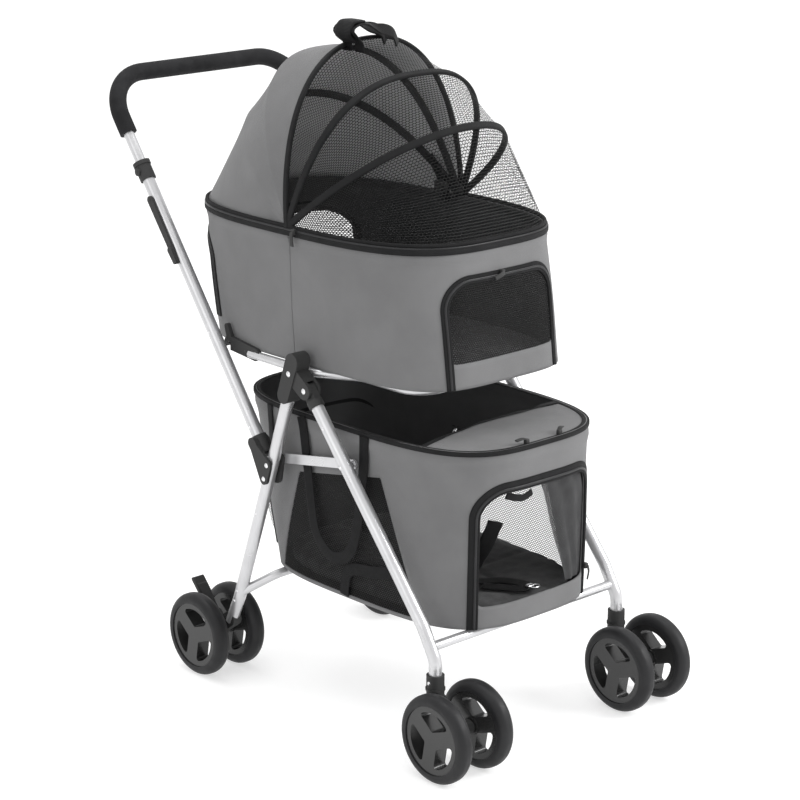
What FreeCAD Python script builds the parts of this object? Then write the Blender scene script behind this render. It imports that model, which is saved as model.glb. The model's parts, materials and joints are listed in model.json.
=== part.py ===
import FreeCAD, Part
import math
import os

# A two-tier folding pet stroller.  +Z is up, travel is towards -Y, millimetres throughout.
# The origin is on the floor, at the middle of the whole object's box.

Vector = FreeCAD.Vector

# Running gear
WHEEL_R = 75.0
TYRE_W = 30.0
TYRE_BORE_R = 58.0
HUB_BORE_R = 4.3
AXLE_R = 4.0
AXLE_END = 9.0
SPOKES = 3
SPOKE_W = 27.0
PIN_R = 3.0
PIN_HOLE_R = 3.3
REAR_AXLE_Y = 195.0
FRONT_AXLE_Y = -426.0
SWIVEL_Y = -374.0
REAR_PAIR_HALF = 40.0
FRONT_PAIR_HALF = 46.0

# Tubes of the frame
LEG_X = 217.0
LEG_R = 11.0
WALL = 1.2
CROSS_R = 8.0
CROSS_Z = 201.5
HANDLE_X = 214.0
HANDLE_R = 11.0
BOW_TUBE_R = 9.5
GRIP_R = 15.5

# Pivots of the folding frame, as (y, z)
FRONT_PIVOT = (-66.0, 574.0)
HANDLE_PIVOT = (37.0, 397.0)
LINK_FRONT = (-155.0, 461.0)
LINK_REAR = (27.0, 430.0)
SUPPORT_PIVOT = (-30.0, 597.0)
PEDAL_PIVOT = (205.0, 98.0)

# Leg and handle centre lines, as (y, z) from top to bottom
REAR_LEG = [(-38.0, 619.0), (127.0, 155.0), (152.0, 101.0)]
FRONT_LEG = [(-80.0, 557.0), (-344.0, 233.0), (-374.0, 182.0), (-374.0, 140.0)]
HANDLE_BASE = (68.0, 456.0)
HANDLE_TOP = (485.5, 1035.0)
HANDLE_CORNER_R = 82.0
REAR_LEG_BEND = 60.0
FRONT_LEG_BEND = 40.0
COLLAR_Z = 884.0
GRIP_START_Z = 942.0

# Support loop under the upper carrier
LOOP_X = 192.0
LOOP_Z = 595.5
LOOP_R = 7.5
LOOP_REAR_Y = 118.0
LOOP_FRONT_Y = -262.0
LOOP_NECK_X = 150.0
LOOP_NECK_YS = (-50.0, -125.0)

# Carriers: half width, half length, middle y, height and squareness of each outline
UPPER_BASE = dict(a=190.0, b=302.0, y=-17.0, z=604.0, n=4.2)
UPPER_RIM = dict(a=200.0, b=310.0, y=15.0, z=836.0, n=3.2)
LOWER_BASE = dict(a=182.0, b=270.0, y=-127.0, z=211.0, n=3.5)
LOWER_RIM = dict(a=188.0, b=304.0, y=-99.0, z=518.0, n=3.5)
# Front windows: half width, lowest and highest z, and the cutting block's front y and depth
UPPER_WINDOW = dict(half_width=116.0, z0=646.0, z1=776.0, y_front=-340.0, depth=160.0)
LOWER_WINDOW = dict(half_width=124.0, z0=250.0, z1=446.0, y_front=-420.0, depth=160.0)
WINDOW_TOP_R = 44.0
WINDOW_FOOT_R = 8.0
ROOF_FLAP_Y = -268.0
GATHERED_DOOR_HALF = 48.0

# Cloth, floor board and cushion thicknesses
CLOTH = 3.0
FLOOR = 6.0
PAD_T = 18.0
PAD_EDGE_R = 5.0

# Canopy dome, turned about a line through the two side pivots
DOME_Y = 4.0
DOME_Z = 838.0
DOME_A = 203.0
DOME_B = 292.0
DOME_N = 2.3
HOOD_CLOTH = 2.4
MESH_CLOTH = 1.6
BOW_R = 3.0
MAIN_BOW_ANGLES = (3.0, 27.0, 54.0)
MIDDLE_BOW_ANGLE = -23.0
FRONT_BOW_ANGLE = -52.0
MAIN_FOOT = 14.0
MIDDLE_FOOT = 30.0
FRONT_FOOT = 33.0
STRAP_YS = (-12.0, 18.0)

SIDES = {"left": -1, "right": 1}


# ---------------------------------------------------------------- helpers

def yz(x, point):
    """A point of the side view, placed at one x."""
    return Vector(x, point[0], point[1])


def along_handle(distance, x=HANDLE_X):
    """A point on a handle tube's centre line, a distance up from its base."""
    base = Vector(0, *HANDLE_BASE)
    direction = (Vector(0, *HANDLE_TOP) - base).normalize()
    point = base + direction * distance
    return Vector(x, point.y, point.z)


def handle_at_height(z, x=HANDLE_X):
    """The point where a handle tube's centre line reaches a height."""
    rise = HANDLE_TOP[1] - HANDLE_BASE[1]
    run = HANDLE_TOP[0] - HANDLE_BASE[0]
    return Vector(x, HANDLE_BASE[0] + run * (z - HANDLE_BASE[1]) / rise, z)


def rounded_path(points, bend):
    """A wire through the points, with a tangent arc of the bend radius at each inner one."""
    edges = []
    start = points[0]
    for before, corner, after in zip(points, points[1:], points[2:]):
        back = (before - corner).normalize()
        ahead = (after - corner).normalize()
        half_angle = back.getAngle(ahead) / 2
        cut = bend / math.tan(half_angle)
        first = corner + back * cut
        last = corner + ahead * cut
        centre = corner + (back + ahead).normalize() * (bend / math.sin(half_angle))
        middle = centre + (corner - centre).normalize() * bend
        edges.append(Part.LineSegment(start, first).toShape())
        edges.append(Part.Arc(first, middle, last).toShape())
        start = last
    edges.append(Part.LineSegment(start, points[-1]).toShape())
    return Part.Wire(edges)


def rod(points, radius, bend=1.0):
    """A solid round bar that follows a rounded path."""
    path = rounded_path(points, bend)
    circle = Part.makeCircle(radius, points[0], points[1] - points[0])
    return path.makePipeShell([Part.Wire(circle)], True, False)


def tube(points, radius, bend=1.0, wall=WALL):
    """A hollow round tube that follows a rounded path."""
    return rod(points, radius, bend).cut(rod(points, radius - wall, bend))


def bar(start, end, radius):
    """A straight round bar between two points."""
    return Part.makeCylinder(radius, (end - start).Length, start, end - start)


def cross_bar(point, radius, x0, x1):
    """A round bar along X through a point of the side view."""
    return bar(yz(x0, point), yz(x1, point), radius)


def hull(circles, x0, x1):
    """A flat plate along X whose outline wraps two circles, each given as (y, z, radius)."""
    (y1, z1, r1), (y2, z2, r2) = circles
    first, second = Vector(x0, y1, z1), Vector(x0, y2, z2)
    gap = second - first
    direction = math.atan2(gap.z, gap.y)
    lean = math.acos((r1 - r2) / gap.Length)
    def on(centre, radius, angle):
        return centre + Vector(0, math.cos(angle), math.sin(angle)) * radius
    a1, b1 = on(first, r1, direction + lean), on(first, r1, direction - lean)
    a2, b2 = on(second, r2, direction + lean), on(second, r2, direction - lean)
    edges = [
        Part.LineSegment(a1, a2).toShape(),
        Part.Arc(a2, on(second, r2, direction), b2).toShape(),
        Part.LineSegment(b2, b1).toShape(),
        Part.Arc(b1, on(first, r1, direction + math.pi), a1).toShape(),
    ]
    return Part.Face(Part.Wire(edges)).extrude(Vector(x1 - x0, 0, 0))


def joined(shapes):
    """One solid made of overlapping solids."""
    return shapes[0].multiFuse(shapes[1:]).removeSplitter()


def carved(shape, *tools):
    """The shape with each of the tools taken out of it."""
    for tool in tools:
        shape = shape.cut(tool)
    return shape


def mirrored(shape):
    """The same shape on the other side of the middle plane."""
    return shape.mirror(Vector(0, 0, 0), Vector(1, 0, 0))


def both_sides(shape):
    """The shape and its mirror image as a group of separate solids."""
    return Part.makeCompound([shape, mirrored(shape)])


def rivet_head(x, point, side=1, radius=4.0, height=2.0):
    """A domed rivet head whose flat face is at x, its dome facing the given side."""
    sphere_r = (radius ** 2 + height ** 2) / (2 * height)
    centre = yz(x - side * (sphere_r - height), point)
    reach = Part.makeCylinder(radius + 1, height + 1, yz(x, point), Vector(side, 0, 0))
    return Part.makeSphere(sphere_r, centre).common(reach)


def save(name, shape):
    """Writes one node and reports its volume."""
    shape.exportStep("parts/%s.step" % name)
    solids = shape.Solids
    sound = all(solid.isValid() for solid in solids)
    litres = shape.Volume / 1e6
    print("%-24s solids %2d  valid %s  litres %7.4f" % (name, len(solids), sound, litres))


# ---------------------------------------------------------------- wheels

def tyre(x):
    """A rounded tyre, centred on an x, about an axle on the line y = z = 0."""
    half = TYRE_W / 2
    shoulder = 13.0
    outline = [
        Part.LineSegment(Vector(-half, TYRE_BORE_R, 0), Vector(-half, WHEEL_R - shoulder, 0)).toShape(),
        Part.Arc(
            Vector(-half, WHEEL_R - shoulder, 0),
            Vector(-half + 0.29 * shoulder, WHEEL_R - 0.29 * shoulder, 0),
            Vector(-half + shoulder, WHEEL_R, 0),
        ).toShape(),
        Part.LineSegment(
            Vector(-half + shoulder, WHEEL_R, 0), Vector(half - shoulder, WHEEL_R, 0)
        ).toShape(),
        Part.Arc(
            Vector(half - shoulder, WHEEL_R, 0),
            Vector(half - 0.29 * shoulder, WHEEL_R - 0.29 * shoulder, 0),
            Vector(half, WHEEL_R - shoulder, 0),
        ).toShape(),
        Part.LineSegment(Vector(half, WHEEL_R - shoulder, 0), Vector(half, TYRE_BORE_R, 0)).toShape(),
        Part.LineSegment(Vector(half, TYRE_BORE_R, 0), Vector(-half, TYRE_BORE_R, 0)).toShape(),
    ]
    ring = Part.Face(Part.Wire(outline)).revolve(Vector(0, 0, 0), Vector(1, 0, 0), 360)
    ring.translate(Vector(x, 0, 0))
    return ring


def spoke_gap(middle):
    """The opening between two parallel-sided spokes, as a block along X, at a middle angle."""
    outer_r, corner_r = 48.0, 5.0
    spread = math.pi / SPOKES - math.asin(SPOKE_W / 2 / outer_r)
    apex_r = SPOKE_W / 2 / math.sin(math.pi / SPOKES)

    def at(radius, angle):
        return Vector(-20, radius * math.cos(angle), radius * math.sin(angle))

    low, high, apex = at(outer_r, middle - spread), at(outer_r, middle + spread), at(apex_r, middle)
    edges = [
        Part.Arc(low, at(outer_r, middle), high).toShape(),
        Part.LineSegment(high, apex).toShape(),
        Part.LineSegment(apex, low).toShape(),
    ]
    block = Part.Face(Part.Wire(edges)).extrude(Vector(40, 0, 0))
    corners = [e for e in block.Edges if abs(e.tangentAt(e.FirstParameter).x) > 0.99]
    return block.makeFillet(corner_r, corners)


def hub(x, outward):
    """A moulded wheel centre with three broad flush spokes, a boss inside and a blind bore."""
    half, boss_r, boss_half, bore_end = 13.0, 15.0, 17.0, 10.0
    first_gap = math.radians(100.0)
    axis = Vector(1, 0, 0)
    body = Part.makeCylinder(TYRE_BORE_R, 2 * half, Vector(-half, 0, 0), axis)
    boss = Part.makeCylinder(boss_r, boss_half + 1, Vector(-boss_half, 0, 0), axis)
    body = joined([body, boss])
    for index in range(SPOKES):
        body = body.cut(spoke_gap(first_gap + index * 2 * math.pi / SPOKES))
    bore = Part.makeCylinder(HUB_BORE_R, 20.0 + bore_end, Vector(-20, 0, 0), axis)
    body = body.cut(bore)
    if outward < 0:
        body = mirrored(body)
    body.translate(Vector(x, 0, 0))
    return body


def make_wheels():
    """Eight wheels: a pair at each corner, each with its own tyre and hub."""
    corners = {"rear": (REAR_AXLE_Y, REAR_PAIR_HALF), "front": (FRONT_AXLE_Y, FRONT_PAIR_HALF)}
    for end, (axle_y, half) in corners.items():
        for side, sign in SIDES.items():
            for place, offset in (("outer", half), ("inner", -half)):
                x = sign * (LEG_X + offset)
                outward = math.copysign(1, sign * offset)
                for kind, shape in (("tyre", tyre(x)), ("hub", hub(x, outward))):
                    shape.translate(Vector(0, axle_y, WHEEL_R))
                    save("%s_%s_%s_%s" % (kind, end, side, place), shape)


# ---------------------------------------------------------------- rear frame

def leg_points(line, x):
    """A leg's centre line at one x."""
    return [yz(x, point) for point in line]


def rear_leg_bar(radius=LEG_R, x=LEG_X):
    """The rear leg as a solid bar."""
    return rod(leg_points(REAR_LEG, x), radius, REAR_LEG_BEND)


def front_leg_bar(radius=LEG_R, x=LEG_X):
    """The front leg as a solid bar."""
    return rod(leg_points(FRONT_LEG, x), radius, FRONT_LEG_BEND)


def axle_housing():
    """The moulded block between a rear pair of wheels, with the leg's socket on top."""
    block = hull([(REAR_AXLE_Y, WHEEL_R, 15.0), (149.0, 107.0, 13.5)], LEG_X - 9, LEG_X + 9)
    boss = cross_bar((REAR_AXLE_Y, WHEEL_R), 12.0, LEG_X - 21, LEG_X + 21)
    socket = rear_leg_bar()
    ear_gap = cross_bar(PEDAL_PIVOT, 13.0, LEG_X - 11, LEG_X + 11)
    axle_bore = cross_bar((REAR_AXLE_Y, WHEEL_R), AXLE_R, LEG_X - 60, LEG_X + 60)
    ears = hull([(REAR_AXLE_Y, WHEEL_R, 15.0), (*PEDAL_PIVOT, 8.0)], LEG_X - 15, LEG_X + 15)
    pivot_hole = cross_bar(PEDAL_PIVOT, PIN_HOLE_R, LEG_X - 20, LEG_X + 20)
    return carved(joined([block, boss, ears]), socket, ear_gap, axle_bore, pivot_hole)


def axle(axle_y, pair_half):
    """A steel axle whose ends stop inside the blind bores of its two wheels."""
    reach = pair_half + AXLE_END
    return cross_bar((axle_y, WHEEL_R), AXLE_R, LEG_X - reach, LEG_X + reach)


def hinge_bracket():
    """The moulded cap on a rear leg's top, with two cheeks that hold the front leg's tongue."""
    cap = hull([(-38.0, 619.0, 15.0), (-15.0, 556.0, 14.0)], LEG_X - 15, LEG_X + 15)
    cheeks = hull([(-31.0, 598.0, 16.0), (*FRONT_PIVOT, 15.0)], LEG_X - 13, LEG_X + 13)
    slot = hull([(-41.0, 583.0, 13.6), (*FRONT_PIVOT, 16.5)], LEG_X - 7.5, LEG_X + 7.5)
    slot = slot.cut(rear_leg_bar(LEG_R + 2.0))
    leg = rear_leg_bar()
    pin = cross_bar(FRONT_PIVOT, 3.0, LEG_X - 20, LEG_X + 20)
    return carved(joined([cap, cheeks]), slot, leg, pin)


def rear_rivets():
    """Rivets and pins of one side of the rear frame."""
    outer = LEG_X + 15
    pivot_pin = cross_bar(FRONT_PIVOT, 2.9, LEG_X - 13, LEG_X + 13)
    pieces = [
        joined([
            pivot_pin,
            rivet_head(LEG_X + 13, FRONT_PIVOT, 1, 5.0, 2.2),
            rivet_head(LEG_X - 13, FRONT_PIVOT, -1, 4.5, 1.6),
        ]),
        rivet_head(outer, SUPPORT_PIVOT, 1, 5.0, 2.2),
        cross_bar(SUPPORT_PIVOT, PIN_R, LOOP_X - 6.0, LEG_X - 15.0),
        joined([
            cross_bar(PEDAL_PIVOT, PIN_R, LEG_X - 15.0, LEG_X + 15.0),
            rivet_head(LEG_X + 15, PEDAL_PIVOT, 1, 4.5, 2.0),
            rivet_head(LEG_X - 15, PEDAL_PIVOT, -1, 4.5, 2.0),
        ]),
    ]
    leg = rear_leg_bar()
    for spot in ((66.5, 325.5), (122.6, 167.0), (130.8, 147.0)):
        pieces.append(rivet_head(LEG_X + LEG_R - 0.25, spot, 1, 3.0, 1.6).cut(leg))
    return Part.makeCompound(pieces)


def brake_pedal(side):
    """A foot pedal hinged between the rear wheels, with a ribbed tread and a locking nose."""
    arm = hull([(*PEDAL_PIVOT, 9.0), (236.0, 146.0, 4.0)], LEG_X - 10, LEG_X + 10)
    tread = hull([(227.0, 134.0, 3.5), (247.0, 156.0, 3.5)], LEG_X - 12, LEG_X + 12)
    hole = cross_bar(PEDAL_PIVOT, PIN_HOLE_R, LEG_X - 20, LEG_X + 20)
    pedal = carved(joined([arm, tread]), hole)
    return pedal if side > 0 else mirrored(pedal)


def make_rear_frame():
    """Rear legs, cross tube, axle parts, hinge brackets and brake pedals."""
    leg = tube(leg_points(REAR_LEG, LEG_X), LEG_R, REAR_LEG_BEND)
    save("rear_leg_right", leg)
    save("rear_leg_left", mirrored(leg))

    end = (119.0, 166.0)
    route = [yz(-LEG_X, end), Vector(-176, 72, CROSS_Z), Vector(176, 72, CROSS_Z), yz(LEG_X, end)]
    cross = tube(route, CROSS_R, 28.0)
    for x in (-LEG_X, LEG_X):
        cross = cross.cut(rear_leg_bar(x=x))
    middle = max(cross.Solids, key=lambda solid: solid.Volume)
    save("rear_cross_tube", middle)

    save("axle_housings", both_sides(axle_housing()))
    save("rear_axles", both_sides(axle(REAR_AXLE_Y, REAR_PAIR_HALF)))
    save("hinge_brackets", both_sides(hinge_bracket()))
    save("rear_frame_rivets", both_sides(rear_rivets()))
    for side, sign in SIDES.items():
        save("brake_pedal_%s" % side, brake_pedal(sign))


# ---------------------------------------------------------------- front frame

def leg_fitting():
    """The moulded end of a front leg, with the tongue that turns on the hinge pin."""
    sleeve_end = (-87.0, 548.4)
    tongue = hull([(*FRONT_PIVOT, 12.0), (-82.0, 554.4, 11.6)], LEG_X - 7, LEG_X + 7)
    top, low = yz(LEG_X, (-79.0, 558.2)), yz(LEG_X, sleeve_end)
    sleeve = bar(top, low, LEG_R + 2.6)
    bore = cross_bar(FRONT_PIVOT, PIN_HOLE_R, LEG_X - 20, LEG_X + 20)
    leg = front_leg_bar()
    return carved(joined([tongue, sleeve]), bore, leg)


def caster_collar():
    """The collar at a front leg's foot that holds the swivel stem."""
    shell = Part.makeCylinder(15.0, 24.0, Vector(LEG_X, SWIVEL_Y, 134.0))
    flange = Part.makeCylinder(16.5, 4.0, Vector(LEG_X, SWIVEL_Y, 132.0))
    leg = Part.makeCylinder(LEG_R, 30.0, Vector(LEG_X, SWIVEL_Y, 140.0))
    stem = Part.makeCylinder(8.4, 30.0, Vector(LEG_X, SWIVEL_Y, 120.0))
    return carved(joined([shell, flange]), leg, stem)


def caster_fork():
    """The swivelling arm between a front pair of wheels, with its stem and axle boss."""
    stem = Part.makeCylinder(8.0, 70.0, Vector(LEG_X, SWIVEL_Y, 110.0))
    crown = Part.makeCylinder(15.0, 26.0, Vector(LEG_X, SWIVEL_Y, 105.4))
    arm = hull([(SWIVEL_Y, 110.0, 15.0), (FRONT_AXLE_Y, WHEEL_R, 16.0)], LEG_X - 13, LEG_X + 13)
    boss = cross_bar((FRONT_AXLE_Y, WHEEL_R), 12.0, LEG_X - 28, LEG_X + 28)
    axle_bore = cross_bar((FRONT_AXLE_Y, WHEEL_R), AXLE_R, LEG_X - 60, LEG_X + 60)
    return carved(joined([stem, crown, arm, boss]), axle_bore)


def front_rivets():
    """Screws and link pivots of one side of the front frame."""
    link_pivot = joined([
        cross_bar(LINK_FRONT, PIN_R, LEG_X - LEG_R - 9.5, LEG_X - LEG_R + 0.1),
        cross_bar(LINK_FRONT, 6.0, LEG_X - LEG_R - 5.5, LEG_X - LEG_R + 0.1),
        rivet_head(LEG_X - LEG_R - 9.4, LINK_FRONT, -1, 5.0, 1.8),
    ])
    leg = front_leg_bar()
    pieces = [
        link_pivot,
        rivet_head(LEG_X + LEG_R - 0.3, LINK_FRONT, 1, 3.6, 1.9),
        rivet_head(LEG_X + LEG_R - 0.3, (-111.8, 518.0), 1, 3.0, 1.7),
        rivet_head(LEG_X + 15.0 - 0.2, (SWIVEL_Y, 146.0), 1, 3.4, 1.8).cut(caster_collar()),
    ]
    return Part.makeCompound([piece.cut(leg) for piece in pieces])


def make_front_frame():
    """Front legs, their fittings, cross tube, casters and the folding link bars."""
    leg = tube(leg_points(FRONT_LEG, LEG_X), LEG_R, FRONT_LEG_BEND)
    save("front_leg_right", leg)
    save("front_leg_left", mirrored(leg))

    cross_y = -362.0
    cross = tube([Vector(-LEG_X, cross_y, CROSS_Z), Vector(LEG_X, cross_y, CROSS_Z)], CROSS_R)
    for x in (-LEG_X, LEG_X):
        cross = cross.cut(front_leg_bar(x=x))
    save("front_cross_tube", max(cross.Solids, key=lambda solid: solid.Volume))

    save("front_leg_fittings", both_sides(leg_fitting()))
    save("caster_collars", both_sides(caster_collar()))
    save("front_frame_rivets", both_sides(front_rivets()))

    fork, shaft = caster_fork(), axle(FRONT_AXLE_Y, FRONT_PAIR_HALF)
    save("caster_fork_right", fork)
    save("caster_fork_left", mirrored(fork))
    save("front_axle_right", shaft)
    save("front_axle_left", mirrored(shaft))

    x0, x1 = LEG_X - LEG_R - 9.2, LEG_X - LEG_R - 5.7
    plate = hull([(*LINK_FRONT, 8.5), (*LINK_REAR, 8.5)], x0, x1)
    hole = cross_bar(LINK_FRONT, PIN_HOLE_R, x0 - 1, x1 + 1)
    stud = rivet_head(x0, LINK_REAR, -1, 5.0, 1.8)
    save("link_bars", both_sides(joined([carved(plate, hole), stud])))


# ---------------------------------------------------------------- handle

def handle_bracket():
    """The moulded fork that joins a handle tube to the rear leg and works the link bar."""
    inner0, inner1 = LEG_X - LEG_R - 5.0, LEG_X - LEG_R - 0.6
    outer0, outer1 = LEG_X + LEG_R + 0.6, LEG_X + LEG_R + 6.0
    grip_mid = along_handle(-12.0)
    spot = (grip_mid.y, grip_mid.z)
    upper_rivet = (29.0, 423.0)
    inner = joined([
        hull([(*HANDLE_PIVOT, 13.0), (*spot, 11.0)], inner0, inner1),
        hull([(*HANDLE_PIVOT, 13.0), (*LINK_REAR, 9.0)], inner0, inner1),
    ])
    outer = joined([
        hull([(*HANDLE_PIVOT, 10.0), (*upper_rivet, 10.0)], outer0, outer1),
        hull([(*upper_rivet, 10.0), (*spot, 10.0)], outer0, outer1),
        hull([(*HANDLE_PIVOT, 10.0), (*spot, 10.0)], outer0, outer1),
    ])
    sleeve = bar(along_handle(-24.0), along_handle(8.0), HANDLE_R + 3.2)
    block = hull([(spot[0] - 2, spot[1] - 2, 10.0), (spot[0] + 6, spot[1] + 8, 10.0)], inner0, outer1)
    tube_seat = bar(along_handle(-18.0), along_handle(40.0), HANDLE_R)
    bore = cross_bar(HANDLE_PIVOT, 3.1, inner0 - 2, outer1 + 2)
    return carved(joined([inner, outer, sleeve, block]), tube_seat, bore)


def handle_rivets():
    """Rivet heads on one handle bracket and tube, and the pin that the support hook rests on."""
    outer = LEG_X + LEG_R + 6.0
    face = HANDLE_X + HANDLE_R - 0.25
    pieces = [
        rivet_head(outer, HANDLE_PIVOT, 1, 4.5, 2.2),
        rivet_head(outer, (29.0, 423.0), 1, 4.5, 2.2),
    ]
    for height in (478.0, 626.0):
        spot = handle_at_height(height)
        pieces.append(rivet_head(face, (spot.y, spot.z), 1, 3.0, 1.6))
    spot = hook_pin()
    pieces.append(cross_bar(spot, 3.0, HANDLE_X - 24.0, HANDLE_X - 4.0))
    solid_tube = bar(along_handle(-16.0), handle_at_height(COLLAR_Z), HANDLE_R)
    return Part.makeCompound([piece.cut(solid_tube) for piece in pieces])


def hook_pin():
    """Where the pin for the support hook stands on the handle tube, as (y, z)."""
    spot = handle_at_height(604.0)
    return (spot.y - 4.0, spot.z)


def handle_corner_points():
    """The corners of the hand loop's centre line."""
    corner = Vector(HANDLE_X, *HANDLE_TOP)
    return Vector(-HANDLE_X, corner.y, corner.z), corner


def foam_grip():
    """The foam sleeve round the top of the hand loop."""
    left, right = handle_corner_points()
    start, end = handle_at_height(GRIP_START_Z, -HANDLE_X), handle_at_height(GRIP_START_Z)
    route = [start, left, right, end]
    core = [handle_at_height(COLLAR_Z, -HANDLE_X), left, right, handle_at_height(COLLAR_Z)]
    sleeve = rod(route, GRIP_R, HANDLE_CORNER_R)
    return sleeve.cut(rod(core, BOW_TUBE_R, HANDLE_CORNER_R))


def handle_collar():
    """The clamp collar on top of a handle tube, with its screw boss."""
    low, high = handle_at_height(COLLAR_Z - 17.0), handle_at_height(COLLAR_Z + 11.0)
    middle = handle_at_height(COLLAR_Z - 3.0)
    shell = bar(low, high, HANDLE_R + 3.4)
    lip = bar(handle_at_height(COLLAR_Z + 5.0), high, HANDLE_R + 4.8)
    boss = cross_bar((middle.y, middle.z), 7.0, HANDLE_X, HANDLE_X + HANDLE_R + 6.0)
    screw = rivet_head(HANDLE_X + HANDLE_R + 6.0, (middle.y, middle.z), 1, 4.0, 1.6)
    lower = bar(handle_at_height(COLLAR_Z - 40.0), handle_at_height(COLLAR_Z), HANDLE_R)
    upper = bar(handle_at_height(COLLAR_Z - 40.0), handle_at_height(COLLAR_Z + 40.0), BOW_TUBE_R + 0.3)
    return carved(joined([shell, lip, boss, screw]), lower, upper)


def lock_lever(sign):
    """The sprung locking strip on the outside of a handle tube."""
    top, low = handle_at_height(836.0), handle_at_height(756.0)
    tip = handle_at_height(738.0)
    x0 = HANDLE_X + HANDLE_R + 0.5
    strip = hull([(top.y, top.z, 7.0), (low.y, low.z, 6.0)], x0, x0 + 4.5)
    thumb = hull([(low.y, low.z, 6.0), (tip.y, tip.z, 4.5)], x0, x0 + 8.0)
    screw = rivet_head(x0 + 4.5, (top.y, top.z), 1, 3.6, 1.8)
    lever = joined([strip, thumb, screw])
    return lever if sign > 0 else mirrored(lever)


def make_handle():
    """Lower handle tubes with their brackets, and the pull-out hand loop."""
    lower = bar(along_handle(-18.0), handle_at_height(COLLAR_Z), HANDLE_R)
    bore = bar(along_handle(-20.0), handle_at_height(COLLAR_Z + 2.0), HANDLE_R - WALL)
    save("handle_tubes", both_sides(lower.cut(bore)))
    save("handle_brackets", both_sides(handle_bracket()))
    save("handle_rivets", both_sides(handle_rivets()))
    save("handle_collars", both_sides(handle_collar()))

    left, right = handle_corner_points()
    reach = COLLAR_Z - 90.0
    route = [handle_at_height(reach, -HANDLE_X), left, right, handle_at_height(reach)]
    save("handle_bow", tube(route, BOW_TUBE_R, HANDLE_CORNER_R))
    save("foam_grip", foam_grip())
    for side, sign in SIDES.items():
        save("lock_lever_%s" % side, lock_lever(sign))


# ---------------------------------------------------------------- support loop

def support_hook():
    """The hook at a support arm's rear end, open below and behind over the handle's pin."""
    pin_y, pin_z = hook_pin()
    x0, x1 = LOOP_X - 2.5, LOOP_X + 4.5
    plate = hull([(LOOP_REAR_Y - 18.0, LOOP_Z + 2.0, 11.0), (pin_y, pin_z + 2.0, 12.0)], x0, x1)
    finger = hull([(pin_y - 2.0, pin_z + 8.0, 7.0), (pin_y + 6.0, pin_z + 30.0, 5.0)], x0, x1)
    mouth = hull([(pin_y, pin_z, 4.0), (pin_y + 40.0, pin_z - 26.0, 7.0)], x0 - 1, x1 + 1)
    drop = hull([(pin_y, pin_z, 4.0), (pin_y + 4.0, pin_z - 40.0, 9.0)], x0 - 1, x1 + 1)
    hole = cross_bar((LOOP_REAR_Y - 18.0, LOOP_Z), LOOP_R, x0 - 5, x1 + 5)
    arm = bar(Vector(LOOP_X, LOOP_REAR_Y - 60, LOOP_Z), Vector(LOOP_X, LOOP_REAR_Y, LOOP_Z), LOOP_R)
    screw = rivet_head(x1, (LOOP_REAR_Y + 6.0, LOOP_Z + 4.0), 1, 4.0, 1.8)
    screw = screw.cut(arm)
    return joined([carved(joined([plate, finger]), mouth, drop, arm, hole), screw])


def make_support():
    """The loop of tube that carries the upper carrier, and its two hooks."""
    half = [
        Vector(LOOP_X, LOOP_REAR_Y, LOOP_Z),
        Vector(LOOP_X, LOOP_NECK_YS[0], LOOP_Z),
        Vector(LOOP_NECK_X, LOOP_NECK_YS[1], LOOP_Z),
        Vector(LOOP_NECK_X, LOOP_FRONT_Y, LOOP_Z),
    ]
    other = [Vector(-point.x, point.y, point.z) for point in reversed(half)]
    pin_hole = cross_bar(SUPPORT_PIVOT, PIN_HOLE_R, -LEG_X, LEG_X)
    save("support_loop", tube(half + other, LOOP_R, 45.0).cut(pin_hole))
    hook = support_hook()
    save("support_hook_right", hook)
    save("support_hook_left", mirrored(hook))


# ---------------------------------------------------------------- carriers

def oval(outline, inset=0.0, rise=0.0):
    """A closed curve |x/a|^n + |y/b|^n = 1 as a wire, drawn in by an inset and lifted."""
    steps = 48
    points = []
    for index in range(steps):
        angle = 2 * math.pi * (index + 0.5) / steps
        power = 2.0 / outline["n"]
        cosine, sine = math.cos(angle), math.sin(angle)
        x = math.copysign(abs(cosine) ** power, cosine) * (outline["a"] - inset)
        y = math.copysign(abs(sine) ** power, sine) * (outline["b"] - inset)
        points.append(Vector(x, outline["y"] + y, outline["z"] + rise))
    curve = Part.BSplineCurve()
    curve.interpolate(points, PeriodicFlag=True)
    return Part.Wire(curve.toShape())


def between(low, high, z):
    """The outline that a carrier has at a height, by straight lines from its base to its rim."""
    share = (z - low["z"]) / (high["z"] - low["z"])
    return {key: low[key] + share * (high[key] - low[key]) for key in low}


def carrier_block(low, high, inset, z0, z1):
    """The carrier's outer form between two heights, drawn in by an inset."""
    ends = [oval(between(low, high, z), inset) for z in (z0, z1)]
    return Part.makeLoft(ends, True, True)


def front_opening(half_width, z0, z1, y_front, depth, top_r=WINDOW_TOP_R):
    """A round-cornered block that cuts a window through a carrier's front."""
    box = Part.makeBox(2 * half_width, depth, z1 - z0, Vector(-half_width, y_front, z0))
    upright = [e for e in box.Edges if abs(e.tangentAt(e.FirstParameter).y) > 0.99]
    top = [e for e in upright if e.BoundBox.ZMax > z1 - 1.0]
    foot = [e for e in upright if e.BoundBox.ZMax < z0 + 1.0]
    return box.makeFillet(top_r, top).makeFillet(WINDOW_FOOT_R, foot)


def smaller_window(window, gap):
    """The same window with a gap all round."""
    return dict(
        window,
        half_width=window["half_width"] - gap,
        z0=window["z0"] + gap,
        z1=window["z1"] - gap,
    )


def carrier_shell(low, high, window):
    """Cloth walls and a stiff floor, open at the top, with a window in the front."""
    outer = carrier_block(low, high, 0.0, low["z"], high["z"])
    inner = carrier_block(low, high, CLOTH, low["z"] + FLOOR, high["z"] + 1.0)
    return carved(outer, inner, window)


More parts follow.
